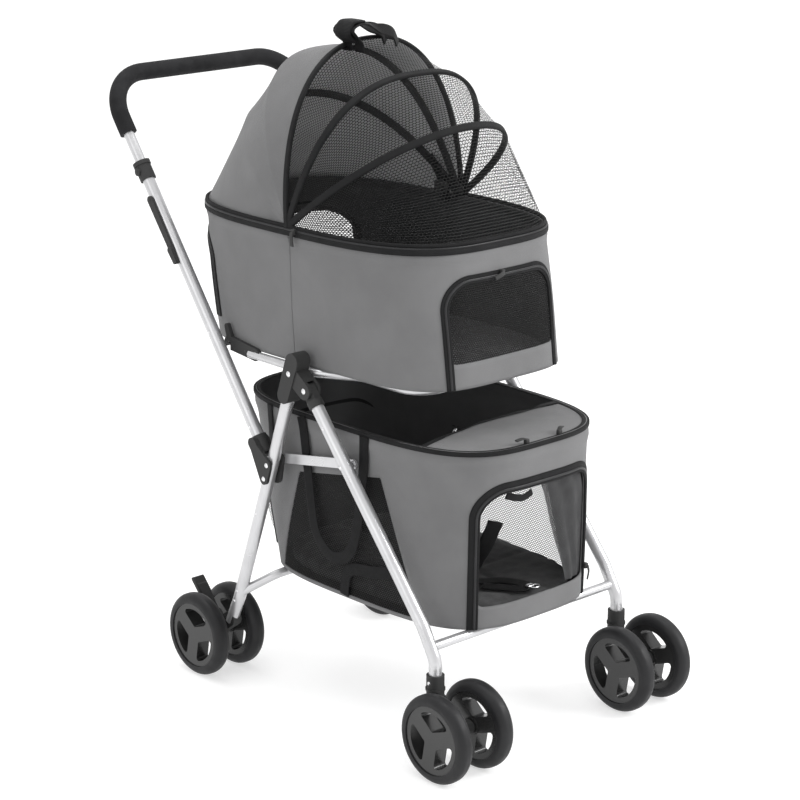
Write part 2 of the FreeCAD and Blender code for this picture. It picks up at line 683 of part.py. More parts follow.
def front_panel(low, high, window, inset, thickness):
    """A thin panel that fills a window and follows the carrier's wall."""
    z0, z1 = low["z"], high["z"]
    skin = carrier_block(low, high, inset, z0, z1)
    skin = skin.cut(carrier_block(low, high, inset + thickness, z0 - 1.0, z1 + 1.0))
    return max(skin.common(window).Solids, key=lambda solid: solid.Volume)


def pad(low, high):
    """The cushion on a carrier's floor."""
    z0 = low["z"] + FLOOR + 0.3
    cushion = carrier_block(low, high, CLOTH + 5.0, z0, z0 + PAD_T)
    rims = [e for e in cushion.Edges if e.BoundBox.ZLength < 0.1]
    return cushion.makeFillet(PAD_EDGE_R, rims)


def make_upper_carrier():
    """The upper carrier's walls, pad and window panel."""
    window = front_opening(**UPPER_WINDOW)
    save("upper_body", carrier_shell(UPPER_BASE, UPPER_RIM, window))
    save("upper_pad", pad(UPPER_BASE, UPPER_RIM))
    opening = front_opening(**smaller_window(UPPER_WINDOW, 1.0))
    save("upper_door", front_panel(UPPER_BASE, UPPER_RIM, opening, 0.6, 1.8))


def make_lower_carrier():
    """The lower carrier's walls with the front roof flap, its pad and its gathered door."""
    window = front_opening(**LOWER_WINDOW)
    shell = carrier_shell(LOWER_BASE, LOWER_RIM, window)
    lid = carrier_block(LOWER_BASE, LOWER_RIM, 1.0, LOWER_RIM["z"] - 3.0, LOWER_RIM["z"])
    keep = Part.makeBox(500, 200, 40, Vector(-250, ROOF_FLAP_Y - 200, LOWER_RIM["z"] - 20))
    save("lower_body", joined([shell, lid.common(keep)]))
    save("lower_pad", pad(LOWER_BASE, LOWER_RIM))
    gathered = smaller_window(LOWER_WINDOW, 2.0)
    shift = gathered["half_width"] - GATHERED_DOOR_HALF
    gathered["half_width"] = GATHERED_DOOR_HALF
    strip = front_opening(**gathered, top_r=12.0)
    strip.translate(Vector(shift, 0, 0))
    strip = strip.common(front_opening(**smaller_window(LOWER_WINDOW, 2.0)))
    save("lower_door", front_panel(LOWER_BASE, LOWER_RIM, strip, 0.6, 2.4))


# ---------------------------------------------------------------- canopy

def arch_curve(half_width, height, start_height):
    """The points of an upright arch in the plane y = 0, from one foot to the other."""
    steps = 40
    power = 2.0 / DOME_N
    lowest = math.asin((start_height / height) ** (1 / power))
    points = []
    for index in range(steps + 1):
        angle = lowest + (math.pi - 2 * lowest) * index / steps
        cosine, sine = math.cos(angle), math.sin(angle)
        x = math.copysign(abs(cosine) ** power, cosine) * half_width
        points.append(Vector(x, 0, sine ** power * height))
    curve = Part.BSplineCurve()
    curve.interpolate(points)
    return curve.toShape()


def dome_sector(half_width, height, thickness, from_angle, to_angle):
    """A shell of the dome between two angles, counted from upright, rearwards positive."""
    foot = 10.0
    outer = arch_curve(half_width, height, foot)
    inner = arch_curve(half_width - thickness, height - thickness, foot)
    right = Part.LineSegment(outer.firstVertex().Point, inner.firstVertex().Point).toShape()
    left = Part.LineSegment(inner.lastVertex().Point, outer.lastVertex().Point).toShape()
    profile = Part.Face(Part.Wire(Part.__sortEdges__([outer, right, inner, left])))
    profile.rotate(Vector(0, 0, 0), Vector(1, 0, 0), -from_angle)
    shell = profile.revolve(Vector(0, 0, 0), Vector(1, 0, 0), -(to_angle - from_angle))
    shell.translate(Vector(0, DOME_Y, DOME_Z))
    return shell


def canopy_bow(angle, inset, foot):
    """A sprung wire bow inside the canopy, at an angle from upright, cut off at a foot height."""
    path = Part.Wire(arch_curve(DOME_A - inset, DOME_B - inset, foot))
    start = path.Edges[0]
    begin = start.FirstParameter
    circle = Part.makeCircle(BOW_R, start.valueAt(begin), start.tangentAt(begin))
    bow = path.makePipeShell([Part.Wire(circle)], True, False)
    bow.rotate(Vector(0, 0, 0), Vector(1, 0, 0), -angle)
    bow.translate(Vector(0, DOME_Y, DOME_Z))
    return bow


def carry_strap(y_mid):
    """One loop of webbing over the canopy's top, drawn up to a peak on the left."""
    width, thick = 22.0, 2.0
    crown = DOME_Z + DOME_B
    route = [(-92.0, crown - 9.0), (-76.0, crown + 44.0), (-48.0, crown + 44.0), (48.0, crown + 1.0)]
    path = rounded_path([Vector(x, y_mid, z) for x, z in route], 12.0)
    along = (path.Vertexes[1].Point - path.Vertexes[0].Point).normalize()
    across = Vector(0, 1, 0)
    up = along.cross(across)
    corners = []
    for side, face in ((-1, -1), (1, -1), (1, 1), (-1, 1)):
        corner = path.Vertexes[0].Point + across * (side * width / 2) + up * (face * thick / 2)
        corners.append(corner)
    profile = Part.makePolygon(corners + corners[:1])
    return path.makePipeShell([profile], True, False)


def make_canopy():
    """The rear hood, the mesh front, the bows and the carry straps."""
    save("canopy_hood", dome_sector(DOME_A, DOME_B, HOOD_CLOTH, 0.6, 89.8))
    save("canopy_mesh", dome_sector(DOME_A, DOME_B, MESH_CLOTH, -0.6, -89.8))
    inset = HOOD_CLOTH + BOW_R + 1.2
    bows = [canopy_bow(angle, inset, MAIN_FOOT) for angle in MAIN_BOW_ANGLES]
    save("canopy_main_bows", Part.makeCompound(bows))
    save("canopy_middle_bow", canopy_bow(MIDDLE_BOW_ANGLE, inset, MIDDLE_FOOT))
    save("canopy_front_bow", canopy_bow(FRONT_BOW_ANGLE, inset, FRONT_FOOT))
    save("carry_straps", Part.makeCompound([carry_strap(y) for y in STRAP_YS]))


os.makedirs("parts", exist_ok=True)
make_wheels()
make_rear_frame()
make_front_frame()
make_handle()
make_support()
make_upper_carrier()
make_lower_carrier()
make_canopy()
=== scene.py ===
import json
import logging
import math
from bisect import bisect_left
from dataclasses import dataclass, field
from enum import Enum
from typing import Callable, Optional, Sequence

import bmesh
import bpy
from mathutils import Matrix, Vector, noise


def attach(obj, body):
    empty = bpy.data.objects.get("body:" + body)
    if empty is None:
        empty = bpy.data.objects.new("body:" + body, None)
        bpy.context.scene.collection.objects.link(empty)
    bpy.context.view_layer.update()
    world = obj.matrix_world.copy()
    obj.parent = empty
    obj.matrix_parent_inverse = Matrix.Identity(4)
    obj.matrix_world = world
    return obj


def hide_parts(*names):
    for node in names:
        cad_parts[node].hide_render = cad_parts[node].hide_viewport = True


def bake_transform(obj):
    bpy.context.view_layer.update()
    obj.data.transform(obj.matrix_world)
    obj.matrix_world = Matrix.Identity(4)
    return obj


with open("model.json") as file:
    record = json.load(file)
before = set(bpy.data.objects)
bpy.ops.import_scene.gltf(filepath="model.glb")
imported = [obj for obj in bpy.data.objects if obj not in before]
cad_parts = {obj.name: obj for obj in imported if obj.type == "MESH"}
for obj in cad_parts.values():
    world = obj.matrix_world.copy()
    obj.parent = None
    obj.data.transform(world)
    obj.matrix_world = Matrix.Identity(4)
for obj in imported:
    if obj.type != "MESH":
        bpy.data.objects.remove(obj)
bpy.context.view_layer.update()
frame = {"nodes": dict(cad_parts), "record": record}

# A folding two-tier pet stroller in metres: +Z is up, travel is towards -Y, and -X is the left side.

LOG = logging.getLogger("stroller")

Colour = tuple[float, float, float]
Pair = tuple[float, float]
Spot = tuple[float, float, float]
Place = Callable[[float, float], Vector]
Section = Callable[[float], Pair]
Facing = Callable[[Vector], Vector]
UP = Vector((0.0, 0.0, 1.0))


# ---------------------------------------------------------------- finishes


class Shader:
    """Builds one material's node tree around a Principled shader."""

    def __init__(self, name: str) -> None:
        """Starts an empty material.

        Args:
            name: the material's name.
        """
        self.material = bpy.data.materials.new(name)
        self.material.use_nodes = True
        self.tree = self.material.node_tree
        self.tree.nodes.clear()
        output = self.tree.nodes.new("ShaderNodeOutputMaterial")
        self.surface = self.tree.nodes.new("ShaderNodeBsdfPrincipled")
        self.tree.links.new(self.surface.outputs["BSDF"], output.inputs["Surface"])

    def fix(self, **values: float) -> None:
        """Sets constant sockets, named in lower case with underscores.

        Args:
            values: socket name to value.
        """
        for name, value in values.items():
            label = "Specular IOR Level" if name == "specular" else name.replace("_", " ").title()
            self.surface.inputs[label].default_value = value

    def feed(self, source: bpy.types.NodeSocket, socket: str) -> None:
        """Links a node's output to one of the surface's sockets."""
        self.tree.links.new(source, self.surface.inputs[socket])

    def math(self, operation: str, *values: object) -> bpy.types.NodeSocket:
        """Adds a Math node.

        Args:
            operation: Blender's name for it.
            values: sockets to link or numbers to set, in order.

        Returns:
            The node's output.
        """
        node = self.tree.nodes.new("ShaderNodeMath")
        node.operation = operation
        for slot, value in enumerate(values):
            if isinstance(value, (int, float)):
                node.inputs[slot].default_value = value
            else:
                self.tree.links.new(value, node.inputs[slot])
        return node.outputs[0]

    def coordinates(self, kind: str = "Object") -> bpy.types.NodeSocket:
        """The Object or UV coordinates."""
        return self.tree.nodes.new("ShaderNodeTexCoord").outputs[kind]

    def split(self, vector: bpy.types.NodeSocket) -> Sequence[bpy.types.NodeSocket]:
        """The three parts of a vector."""
        node = self.tree.nodes.new("ShaderNodeSeparateXYZ")
        self.tree.links.new(vector, node.inputs[0])
        return node.outputs

    def noise(self, scale: float, detail: float = 3.0, kind: str = "Object") -> bpy.types.NodeSocket:
        """Adds a noise texture.

        Args:
            scale: waves to a metre.
            detail: octaves.
            kind: which coordinates it reads.

        Returns:
            Its factor, from 0 to 1.
        """
        node = self.tree.nodes.new("ShaderNodeTexNoise")
        node.inputs["Scale"].default_value = scale
        node.inputs["Detail"].default_value = detail
        self.tree.links.new(self.coordinates(kind), node.inputs["Vector"])
        return node.outputs["Fac"]

    def ramp(
        self, factor: bpy.types.NodeSocket, stops: Sequence[tuple[float, Colour]]
    ) -> bpy.types.NodeSocket:
        """Turns a factor into a colour.

        Args:
            factor: the input.
            stops: place and colour of the two ends.

        Returns:
            The colour.
        """
        node = self.tree.nodes.new("ShaderNodeValToRGB")
        for element, (place, colour) in zip(node.color_ramp.elements, stops):
            element.position = place
            element.color = (*colour, 1.0)
        self.tree.links.new(factor, node.inputs["Fac"])
        return node.outputs["Color"]

    def span(self, value: bpy.types.NodeSocket, source: Pair, target: Pair) -> bpy.types.NodeSocket:
        """Maps a value from one range to another, held at the ends."""
        node = self.tree.nodes.new("ShaderNodeMapRange")
        for slot, number in enumerate((*source, *target), start=1):
            node.inputs[slot].default_value = number
        self.tree.links.new(value, node.inputs[0])
        return node.outputs[0]

    def mottled(self, colour: Colour, share: float, scale: float) -> None:
        """Colours the surface with soft patches a share lighter and darker than the colour."""
        low, high = (tuple(c * (1.0 + s * share) for c in colour) for s in (-1, 1))
        self.feed(self.ramp(self.noise(scale), ((0.35, low), (0.65, high))), "Base Color")

    def bump(self, *layers: tuple[bpy.types.NodeSocket, float]) -> None:
        """Stacks bump layers on the surface.

        Args:
            layers: each a height from 0 to 1 and the metres that 1 stands for.
        """
        normal = None
        for height, distance in layers:
            node = self.tree.nodes.new("ShaderNodeBump")
            node.inputs["Distance"].default_value = distance
            self.tree.links.new(height, node.inputs["Height"])
            if normal is not None:
                self.tree.links.new(normal, node.inputs["Normal"])
            normal = node.outputs["Normal"]
        self.feed(normal, "Normal")

    def threads(self, pitch: float) -> bpy.types.NodeSocket:
        """A plain weave's height, from the piece's own map in metres."""
        across, along = self.split(self.coordinates("UV"))[:2]
        turns = 2.0 * math.pi / pitch
        first = self.math("SINE", self.math("MULTIPLY", across, turns))
        second = self.math("SINE", self.math("MULTIPLY", along, turns))
        return self.math("MULTIPLY", first, second)


@dataclass(frozen=True)
class Finish:
    """What every finish has: a name and a colour."""

    name: str
    colour: Colour

    def build(self) -> bpy.types.Material:
        """Makes the material; each kind of finish has its own way."""
        raise NotImplementedError

    def material(self) -> bpy.types.Material:
        """The material, made once."""
        return bpy.data.materials.get(self.name) or self.build()


@dataclass(frozen=True)
class Cloth(Finish):
    """Coated woven cloth with soft waves in it."""

    pitch: float = 0.0013
    roughness: float = 0.72
    sheen: float = 0.0
    specular: float = 0.2
    wave: float = 0.0012
    mottle: float = 0.05

    def build(self) -> bpy.types.Material:
        """A plain weave over low waves, a little uneven in colour and gloss."""
        shader = Shader(self.name)
        shader.mottled(self.colour, self.mottle, 14.0)
        rough = shader.span(shader.noise(40.0), (0.3, 0.7), (self.roughness - 0.06, self.roughness + 0.06))
        shader.feed(rough, "Roughness")
        shader.fix(sheen_weight=self.sheen, sheen_roughness=0.5, specular=self.specular)
        shader.bump((shader.noise(11.0, 2.0), self.wave), (shader.threads(self.pitch), 0.00012))
        return shader.material


@dataclass(frozen=True)
class Net(Finish):
    """Knitted net with staggered rows of round holes, open to what is behind."""

    across: float = 0.0040
    along: float = 0.0030
    hole: float = 0.40

    def build(self) -> bpy.types.Material:
        """Thread round each hole; the hole lets everything through."""
        shader = Shader(self.name)
        shader.mottled(self.colour, 0.15, 30.0)
        shader.fix(roughness=0.65, specular=0.15)
        u, v = shader.split(shader.coordinates("UV"))[:2]
        row = shader.math("DIVIDE", v, self.along)
        stagger = shader.math("MULTIPLY", shader.math("FLOORED_MODULO", shader.math("FLOOR", row), 2.0), 0.5)
        column = shader.math("ADD", shader.math("DIVIDE", u, self.across), stagger)
        parts = [
            shader.math("POWER", shader.math("SUBTRACT", shader.math("FRACT", place), 0.5), 2.0)
            for place in (row, column)
        ]
        distance = shader.math("SQRT", shader.math("ADD", *parts))
        edges = (self.hole - 0.05, self.hole + 0.05)
        shader.feed(shader.span(distance, edges, (0.0, 1.0)), "Alpha")
        return shader.material


@dataclass(frozen=True)
class Webbing(Finish):
    """Woven strap with cross ribs."""

    rib: float = 0.0020

    def build(self) -> bpy.types.Material:
        """Fine ribs across the strap, from its own map."""
        shader = Shader(self.name)
        shader.mottled(self.colour, 0.2, 90.0)
        shader.fix(roughness=0.6, specular=0.15)
        along = shader.split(shader.coordinates("UV"))[1]
        ribs = shader.math("SINE", shader.math("MULTIPLY", along, 2.0 * math.pi / self.rib))
        shader.bump((ribs, 0.00025), (shader.noise(900.0), 0.0002))
        return shader.material


@dataclass(frozen=True)
class Plush(Finish):
    """Brushed pile."""

    def build(self) -> bpy.types.Material:
        """Short uneven pile with a soft sheen."""
        shader = Shader(self.name)
        shader.mottled(self.colour, 0.25, 45.0)
        shader.fix(roughness=0.9, sheen_weight=0.12, sheen_roughness=0.6, specular=0.1)
        shader.bump((shader.noise(60.0), 0.0012), (shader.noise(700.0, 4.0), 0.0008))
        return shader.material


@dataclass(frozen=True)
class Lacquer(Finish):
    """Silver lacquer on drawn tube."""

    metal: float = 0.75
    roughness: float = 0.3

    def build(self) -> bpy.types.Material:
        """Faint drawing marks, fingermarks in the gloss, and a clear coat."""
        shader = Shader(self.name)
        shader.mottled(self.colour, 0.04, 25.0)
        shader.fix(metallic=self.metal, coat_weight=0.25, coat_roughness=0.15)
        gloss = (self.roughness - 0.05, self.roughness + 0.08)
        rough = shader.span(shader.noise(35.0, 5.0), (0.3, 0.7), gloss)
        shader.feed(rough, "Roughness")
        shader.bump((shader.noise(1500.0, 2.0), 0.00003), (shader.noise(30.0), 0.0001))
        return shader.material


@dataclass(frozen=True)
class Moulded(Finish):
    """Moulded plastic, rubber or foam with a fine grain."""

    roughness: float = 0.45
    grain: float = 1200.0
    depth: float = 0.00008
    scuffs: float = 0.08
    specular: float = 0.3

    def build(self) -> bpy.types.Material:
        """Fine grain, with scuffed patches that are a little rougher and paler."""
        shader = Shader(self.name)
        shader.mottled(self.colour, 0.2, 22.0)
        gloss = (self.roughness - self.scuffs, self.roughness + self.scuffs)
        rough = shader.span(shader.noise(60.0, 6.0), (0.3, 0.7), gloss)
        shader.feed(rough, "Roughness")
        shader.fix(specular=self.specular)
        shader.bump((shader.noise(self.grain, 3.0), self.depth))
        return shader.material


@dataclass(frozen=True)
class Steel(Finish):
    """Zinc-plated steel."""

    roughness: float = 0.28

    def build(self) -> bpy.types.Material:
        """Bright metal with cloudy plating."""
        shader = Shader(self.name)
        shader.mottled(self.colour, 0.08, 200.0)
        shader.fix(metallic=1.0)
        rough = shader.span(shader.noise(250.0), (0.3, 0.7), (self.roughness - 0.08, self.roughness + 0.1))
        shader.feed(rough, "Roughness")
        return shader.material


GREY_CLOTH = Cloth("grey_oxford", (0.150, 0.150, 0.152), sheen=0.08)
HOOD_CLOTH = Cloth("grey_oxford_hood", (0.155, 0.155, 0.157), wave=0.0016, sheen=0.08)
HOOD_LINING = Cloth("hood_lining", (0.600, 0.600, 0.604), roughness=0.85)
BLACK_CLOTH = Cloth("black_binding", (0.0075, 0.0075, 0.0080), pitch=0.0012, roughness=0.70, wave=0.0004)
GREY_SLEEVE = Cloth("sleeve_cloth", (0.022, 0.022, 0.023), pitch=0.0012, roughness=0.7, wave=0.0004)
LINING = Cloth("dark_lining", (0.058, 0.058, 0.059), roughness=0.85, wave=0.0020)
NET = Net("canopy_net", (0.008, 0.008, 0.008), across=0.0064, along=0.0052, hole=0.45)
WINDOW_NET = Net("window_net", (0.010, 0.010, 0.010), across=0.0042, along=0.0034, hole=0.36)
DOOR_NET = Net("door_net", (0.042, 0.042, 0.043), across=0.0019, along=0.0015, hole=0.17)
WEBBING = Webbing("black_webbing", (0.0070, 0.0070, 0.0075))
PLUSH = Plush("pad_plush", (0.052, 0.052, 0.053))
TUBE = Lacquer("silver_lacquer", (0.56, 0.56, 0.57))
PLASTIC = Moulded("black_plastic", (0.009, 0.009, 0.010), roughness=0.42)
TYRE = Moulded("tyre_foam", (0.010, 0.010, 0.011), roughness=0.50, grain=700.0, depth=0.0002)
HUB = Moulded("hub_plastic", (0.008, 0.008, 0.009), roughness=0.40)
GRIP = Moulded(
    "grip_foam_skin", (0.010, 0.010, 0.011), roughness=0.78, grain=900.0, depth=0.0005, specular=0.2
)
STEEL = Steel("bright_zinc", (0.72, 0.72, 0.73))
BLACK_STEEL = Moulded("black_zinc", (0.012, 0.012, 0.013), roughness=0.35, specular=0.5)
ZIP = Moulded("zip_nylon", (0.014, 0.014, 0.015), roughness=0.40)


class Slot(Enum):
    """The record's material slots."""

    TUBE = "silver_tube"
    PLASTIC = "black_plastic"
    STEEL = "bright_steel"
    BLACK_STEEL = "black_steel"
    FOAM = "grip_foam"
    GREY = "grey_cloth"
    NET = "black_mesh"
    SLEEVE = "bow_sleeve"
    WEBBING = "webbing"
    PAD = "pad_cloth"
    TYRE = "tyre"
    HUB = "hub_plastic"


# ---------------------------------------------------------------- mesh helpers


def grid(place: Place, cells: tuple[int, int], size: Pair, joined: bool = False) -> bmesh.types.BMesh:
    """Shapes a flat grid into a surface, with a map in metres.

    Args:
        place: gives the point at a share across and a share along.
        cells: how many faces across and along.
        size: the cloth's size across and along.
        joined: whether the two sides meet, so that their points are merged.

    Returns:
        The surface, to be finished.
    """
    mesh = bmesh.new()
    layer = mesh.loops.layers.uv.new("UVMap")
    bmesh.ops.create_grid(mesh, x_segments=cells[0], y_segments=cells[1], size=0.5)
    for face in mesh.faces:
        for loop in face.loops:
            spot = loop.vert.co
            loop[layer].uv = ((spot.x + 0.5) * size[0], (spot.y + 0.5) * size[1])
    for vert in mesh.verts:
        vert.co = place(vert.co.x + 0.5, vert.co.y + 0.5)
    if joined:
        bmesh.ops.remove_doubles(mesh, verts=mesh.verts[:], dist=2e-5)
    return mesh


def finished(
    name: str,
    mesh: bmesh.types.BMesh,
    finishes: Sequence[Finish],
    slot: Slot,
    body: Optional[str] = None,
    inside: Optional[Vector] = None,
    wall: float = 0.0,
    replaces: Sequence[str] = (),
) -> bpy.types.Object:
    """Turns a mesh into a piece of the stroller.

    Args:
        name: the piece's name.
        mesh: its surface.
        finishes: its finish, and its lining's if it has one.
        slot: the record's slot for the piece; not used.
        body: the body that it rides on, if it is only one.
        inside: a point behind the surface, which turns an open sheet the right way out.
        wall: thickness given to an open sheet, inwards.
        replaces: the CAD nodes that it stands for.

    Returns:
        The piece.
    """
    bmesh.ops.recalc_face_normals(mesh, faces=mesh.faces[:])
    if inside is not None:
        facing = sum((f.calc_center_median() - inside).dot(f.normal) * f.calc_area() for f in mesh.faces)
        if facing < 0.0:
            bmesh.ops.reverse_faces(mesh, faces=mesh.faces[:])
    for face in mesh.faces:
        face.smooth = True
    data = bpy.data.meshes.new(name)
    mesh.to_mesh(data)
    mesh.free()
    piece = bpy.data.objects.new(name, data)
    bpy.context.scene.collection.objects.link(piece)
    for finish in finishes:
        data.materials.append(finish.material())
    if wall:
        solid = piece.modifiers.new("wall", "SOLIDIFY")
        solid.thickness = wall
        solid.offset = -1.0
        if len(finishes) > 1:
            solid.material_offset = 1
    if body:
        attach(piece, body)
    if replaces:
        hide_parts(*replaces)
    LOG.info("%s: %d faces", name, len(data.polygons))
    return piece


def lengths(points: Sequence[Vector]) -> list[float]:
    """How far along a line each of its points is."""
    total = [0.0]
    for before, after in zip(points, points[1:]):
        total.append(total[-1] + (after - before).length)
    return total


def resampled(points: Sequence[Vector], count: int) -> list[Vector]:
    """The same line with evenly spaced points.

    Args:
        points: the line.
        count: how many points to have.

    Returns:
        The new points, ends included.
    """
    total = lengths(points)
    line = []
    for index in range(count):
        goal = total[-1] * index / (count - 1)
        after = min(max(bisect_left(total, goal), 1), len(points) - 1)
        step = total[after] - total[after - 1] or 1.0
        line.append(points[after - 1].lerp(points[after], (goal - total[after - 1]) / step))
    return line


def curved(points: Sequence[Vector], spacing: float = 0.004, closed: bool = False) -> list[Vector]:
    """A smooth line through the points.

    Args:
        points: what it passes through.
        spacing: about how far apart the new points are.
        closed: whether the line runs back to its start.

    Returns:
        Evenly spaced points.
    """
    count = len(points)
    line = []
    for index in range(count if closed else count - 1):
        if closed:
            ends = [points[(index + shift) % count] for shift in (-1, 0, 1, 2)]
        else:
            ends = [points[min(max(index + shift, 0), count - 1)] for shift in (-1, 0, 1, 2)]
        for part in range(12):
            t = part / 12.0
            line.append(
                0.5
                * (
                    2.0 * ends[1]
                    + (ends[2] - ends[0]) * t
                    + (2.0 * ends[0] - 5.0 * ends[1] + 4.0 * ends[2] - ends[3]) * t * t
                    + (3.0 * ends[1] - ends[0] - 3.0 * ends[2] + ends[3]) * t**3
                )
            )
    line.append(points[0] if closed else points[-1])
    return resampled(line, max(4, round(lengths(line)[-1] / spacing) + 1))


def round_section(radius: float) -> Section:
    """The section of a cord: across and out for each share of a turn."""
    return lambda share: (radius * math.cos(2 * math.pi * share), radius * math.sin(2 * math.pi * share))


def band_section(width: float, thickness: float) -> Section:
    """The section of a strap with rounded edges."""

    def section(share: float) -> Pair:
        """Across and out at a share of a turn."""
        cosine, sine = math.cos(2 * math.pi * share), math.sin(2 * math.pi * share)
        across = math.copysign(abs(cosine) ** 0.4, cosine) * width / 2
        return across, math.copysign(abs(sine) ** 0.5, sine) * thickness / 2

    return section


def swept(
    path: Sequence[Vector],
    section: Section,
    facing: Facing,
    sides: int = 12,
    closed: bool = False,
) -> bmesh.types.BMesh:
    """Sweeps a section along a line.

    Args:
        path: the line's points.
        section: across and out for each share of a turn.
        facing: which way is out at a point.
        sides: faces round the section.
        closed: whether the line ends where it starts.

    Returns:
        A closed surface.
    """
    last = len(path) - 1
    total = lengths(path)[-1]

    def place(around: float, along: float) -> Vector:
        """The point at a share of the section and a share of the line."""
        index = round(along * last)
        before, after = max(index - 1, 0), min(index + 1, last)
        if closed and index in (0, last):
            before, after = last - 1, 1
        ahead = (path[after] - path[before]).normalized()
        across = ahead.cross(facing(path[index])).normalized()
        out = across.cross(ahead)
        sideways, outwards = section(around)
        return path[index] + across * sideways + out * outwards

    mesh = grid(place, (sides, last), (0.05, total), joined=True)
    if not closed:
        edges = [edge for edge in mesh.edges if edge.is_boundary]
        bmesh.ops.holes_fill(mesh, edges=edges, sides=sides + 2)
    return mesh


def merged(parts: Sequence[bmesh.types.BMesh]) -> bmesh.types.BMesh:
    """Puts several closed surfaces into one mesh."""
    whole = bmesh.new()
    whole.loops.layers.uv.new("UVMap")
    for part in parts:
        data = bpy.data.meshes.new("part")
        part.to_mesh(data)
        part.free()
        whole.from_mesh(data)
        bpy.data.meshes.remove(data)
    return whole


def mirrored(mesh: bmesh.types.BMesh) -> bmesh.types.BMesh:
    """A copy on the other side of the middle plane."""
    copy = mesh.copy()
    bmesh.ops.scale(copy, vec=(-1.0, 1.0, 1.0), verts=copy.verts[:])
    bmesh.ops.reverse_faces(copy, faces=copy.faces[:])
    return copy


def rippled(point: Vector, scale: float, depth: float) -> float:
    """A smooth uneven height at a point."""
    return noise.noise(point * scale) * depth


# ---------------------------------------------------------------- carrier outlines


@dataclass(frozen=True)
class Outline:
    """One level outline |x/a|^n + |(y-y0)/b|^n = 1."""

    a: float
    b: float
    y: float
    z: float
    n: float

    def mixed(self, other: "Outline", share: float) -> "Outline":
        """The outline a share of the way to another one."""
        mine = (self.a, self.b, self.y, self.z, self.n)
        theirs = (other.a, other.b, other.y, other.z, other.n)
        return Outline(*(m + (t - m) * share for m, t in zip(mine, theirs)))

    def at(self, angle: float, grow: float = 0.0) -> Vector:
        """The point in a direction from the middle: 0 is +X and a quarter turn is +Y."""
        cosine, sine = math.cos(angle), math.sin(angle)
        across, along = abs(cosine / (self.a + grow)), abs(sine / (self.b + grow))
        reach = (across**self.n + along**self.n) ** (-1.0 / self.n)
        return Vector((reach * cosine, self.y + reach * sine, self.z))


class End(Enum):
    """The two ends of a carrier."""

    FRONT = -1.0
    REAR = 1.0


@dataclass(frozen=True)
class Wall:
    """A carrier's wall: straight lines from its base outline to its rim outline."""

    base: Outline
    rim: Outline

    def ring(self, z: float) -> Outline:
        """The outline at a height."""
        return self.base.mixed(self.rim, (z - self.base.z) / (self.rim.z - self.base.z))

    def middle(self, z: float) -> Vector:
        """The middle of the carrier at a height."""
        return Vector((0.0, self.ring(z).y, z))

    def across(self, x: float, z: float, end: End, out: float = 0.0) -> Vector:
        """The point of an end wall at an x and a height, stood out by some metres."""
        ring = self.ring(z)
        share = max(1.0 - abs(x / (ring.a + out)) ** ring.n, 0.0) ** (1.0 / ring.n)
        return Vector((x, ring.y + end.value * (ring.b + out) * share, z))

    def along(self, y: float, z: float, side: float, out: float = 0.0) -> Vector:
        """The point of a side wall at a y and a height, stood out by some metres."""
        ring = self.ring(z)
        share = max(1.0 - abs((y - ring.y) / (ring.b + out)) ** ring.n, 0.0) ** (1.0 / ring.n)
        return Vector((side * (ring.a + out) * share, y, z))

    def outward(self, point: Vector) -> Vector:
        """Which way is out of the wall at a point on it."""
        ring = self.ring(point.z)
        x, y = point.x / ring.a, (point.y - ring.y) / ring.b
        slope = Vector(
            (
                math.copysign(abs(x) ** (ring.n - 1.0), x) / ring.a,
                math.copysign(abs(y) ** (ring.n - 1.0), y) / ring.b,
                0.0,
            )
        )
        return slope.normalized() if slope.length > 1e-9 else Vector((0.0, -1.0, 0.0))

    def loop(self, z: float, grow: float = 0.0, count: int = 320) -> list[Vector]:
        """A closed line round the wall at a height."""
        ring = self.ring(z)
        points = [ring.at(2.0 * math.pi * index / 720, grow) for index in range(721)]
        return resampled(points, count + 1)


@dataclass(frozen=True)
class Opening:
    """A round-cornered window in a carrier's end wall."""

    half_width: float
    low: float
    high: float
    corner: float
    foot: float = 0.008
    end: End = End.FRONT

    def gap(self, x: float, z: float) -> float:
        """How far a point is outside the window's edge; less than 0 inside."""
        radius = self.corner if z > (self.low + self.high) / 2 else self.foot
        across = abs(x) - self.half_width + radius
        up = abs(z - (self.low + self.high) / 2) - (self.high - self.low) / 2 + radius
        outside = math.hypot(max(across, 0.0), max(up, 0.0))
        return outside + min(max(across, up), 0.0) - radius

    def holds(self, point: Vector, spare: float = 0.0) -> bool:
        """Whether a point of this end's wall lies in the window."""
        return (point.y - self.end.value * 0.02) * self.end.value > 0.0 and self.gap(point.x, point.z) < spare

    def snapped(self, x: float, z: float) -> Pair:
        """The nearest point on the window's edge."""
        for _ in range(3):
            here, step = self.gap(x, z), 1e-4
            slope = Vector((self.gap(x + step, z) - here, self.gap(x, z + step) - here)) / step
            if slope.length > 1e-6:
                slope.normalize()
            x, z = x - slope.x * here, z - slope.y * here
        return x, z

    def edge(self, open_low: Optional[float] = None, spacing: float = 0.004) -> list[Pair]:
        """The edge from the left foot over the top to the right foot.

        Args:
            open_low: where both feet end, if not at the window's low corners.
            spacing: about how far apart the points are.

        Returns:
            Points as (x, z).
        """
        foot = self.low if open_low is None else open_low
        line = [Vector((-self.half_width, foot, 0.0))]
        for side, first in ((-1.0, math.pi), (1.0, math.pi / 2)):
            centre = Vector((side * (self.half_width - self.corner), self.high - self.corner, 0.0))
            for index in range(13):
                angle = first - math.pi / 2 * index / 12
                line.append(centre + Vector((math.cos(angle), math.sin(angle), 0.0)) * self.corner)
        line.append(Vector((self.half_width, foot, 0.0)))
        count = round(lengths(line)[-1] / spacing) + 1
        return [(point.x, point.y) for point in resampled(line, count)]


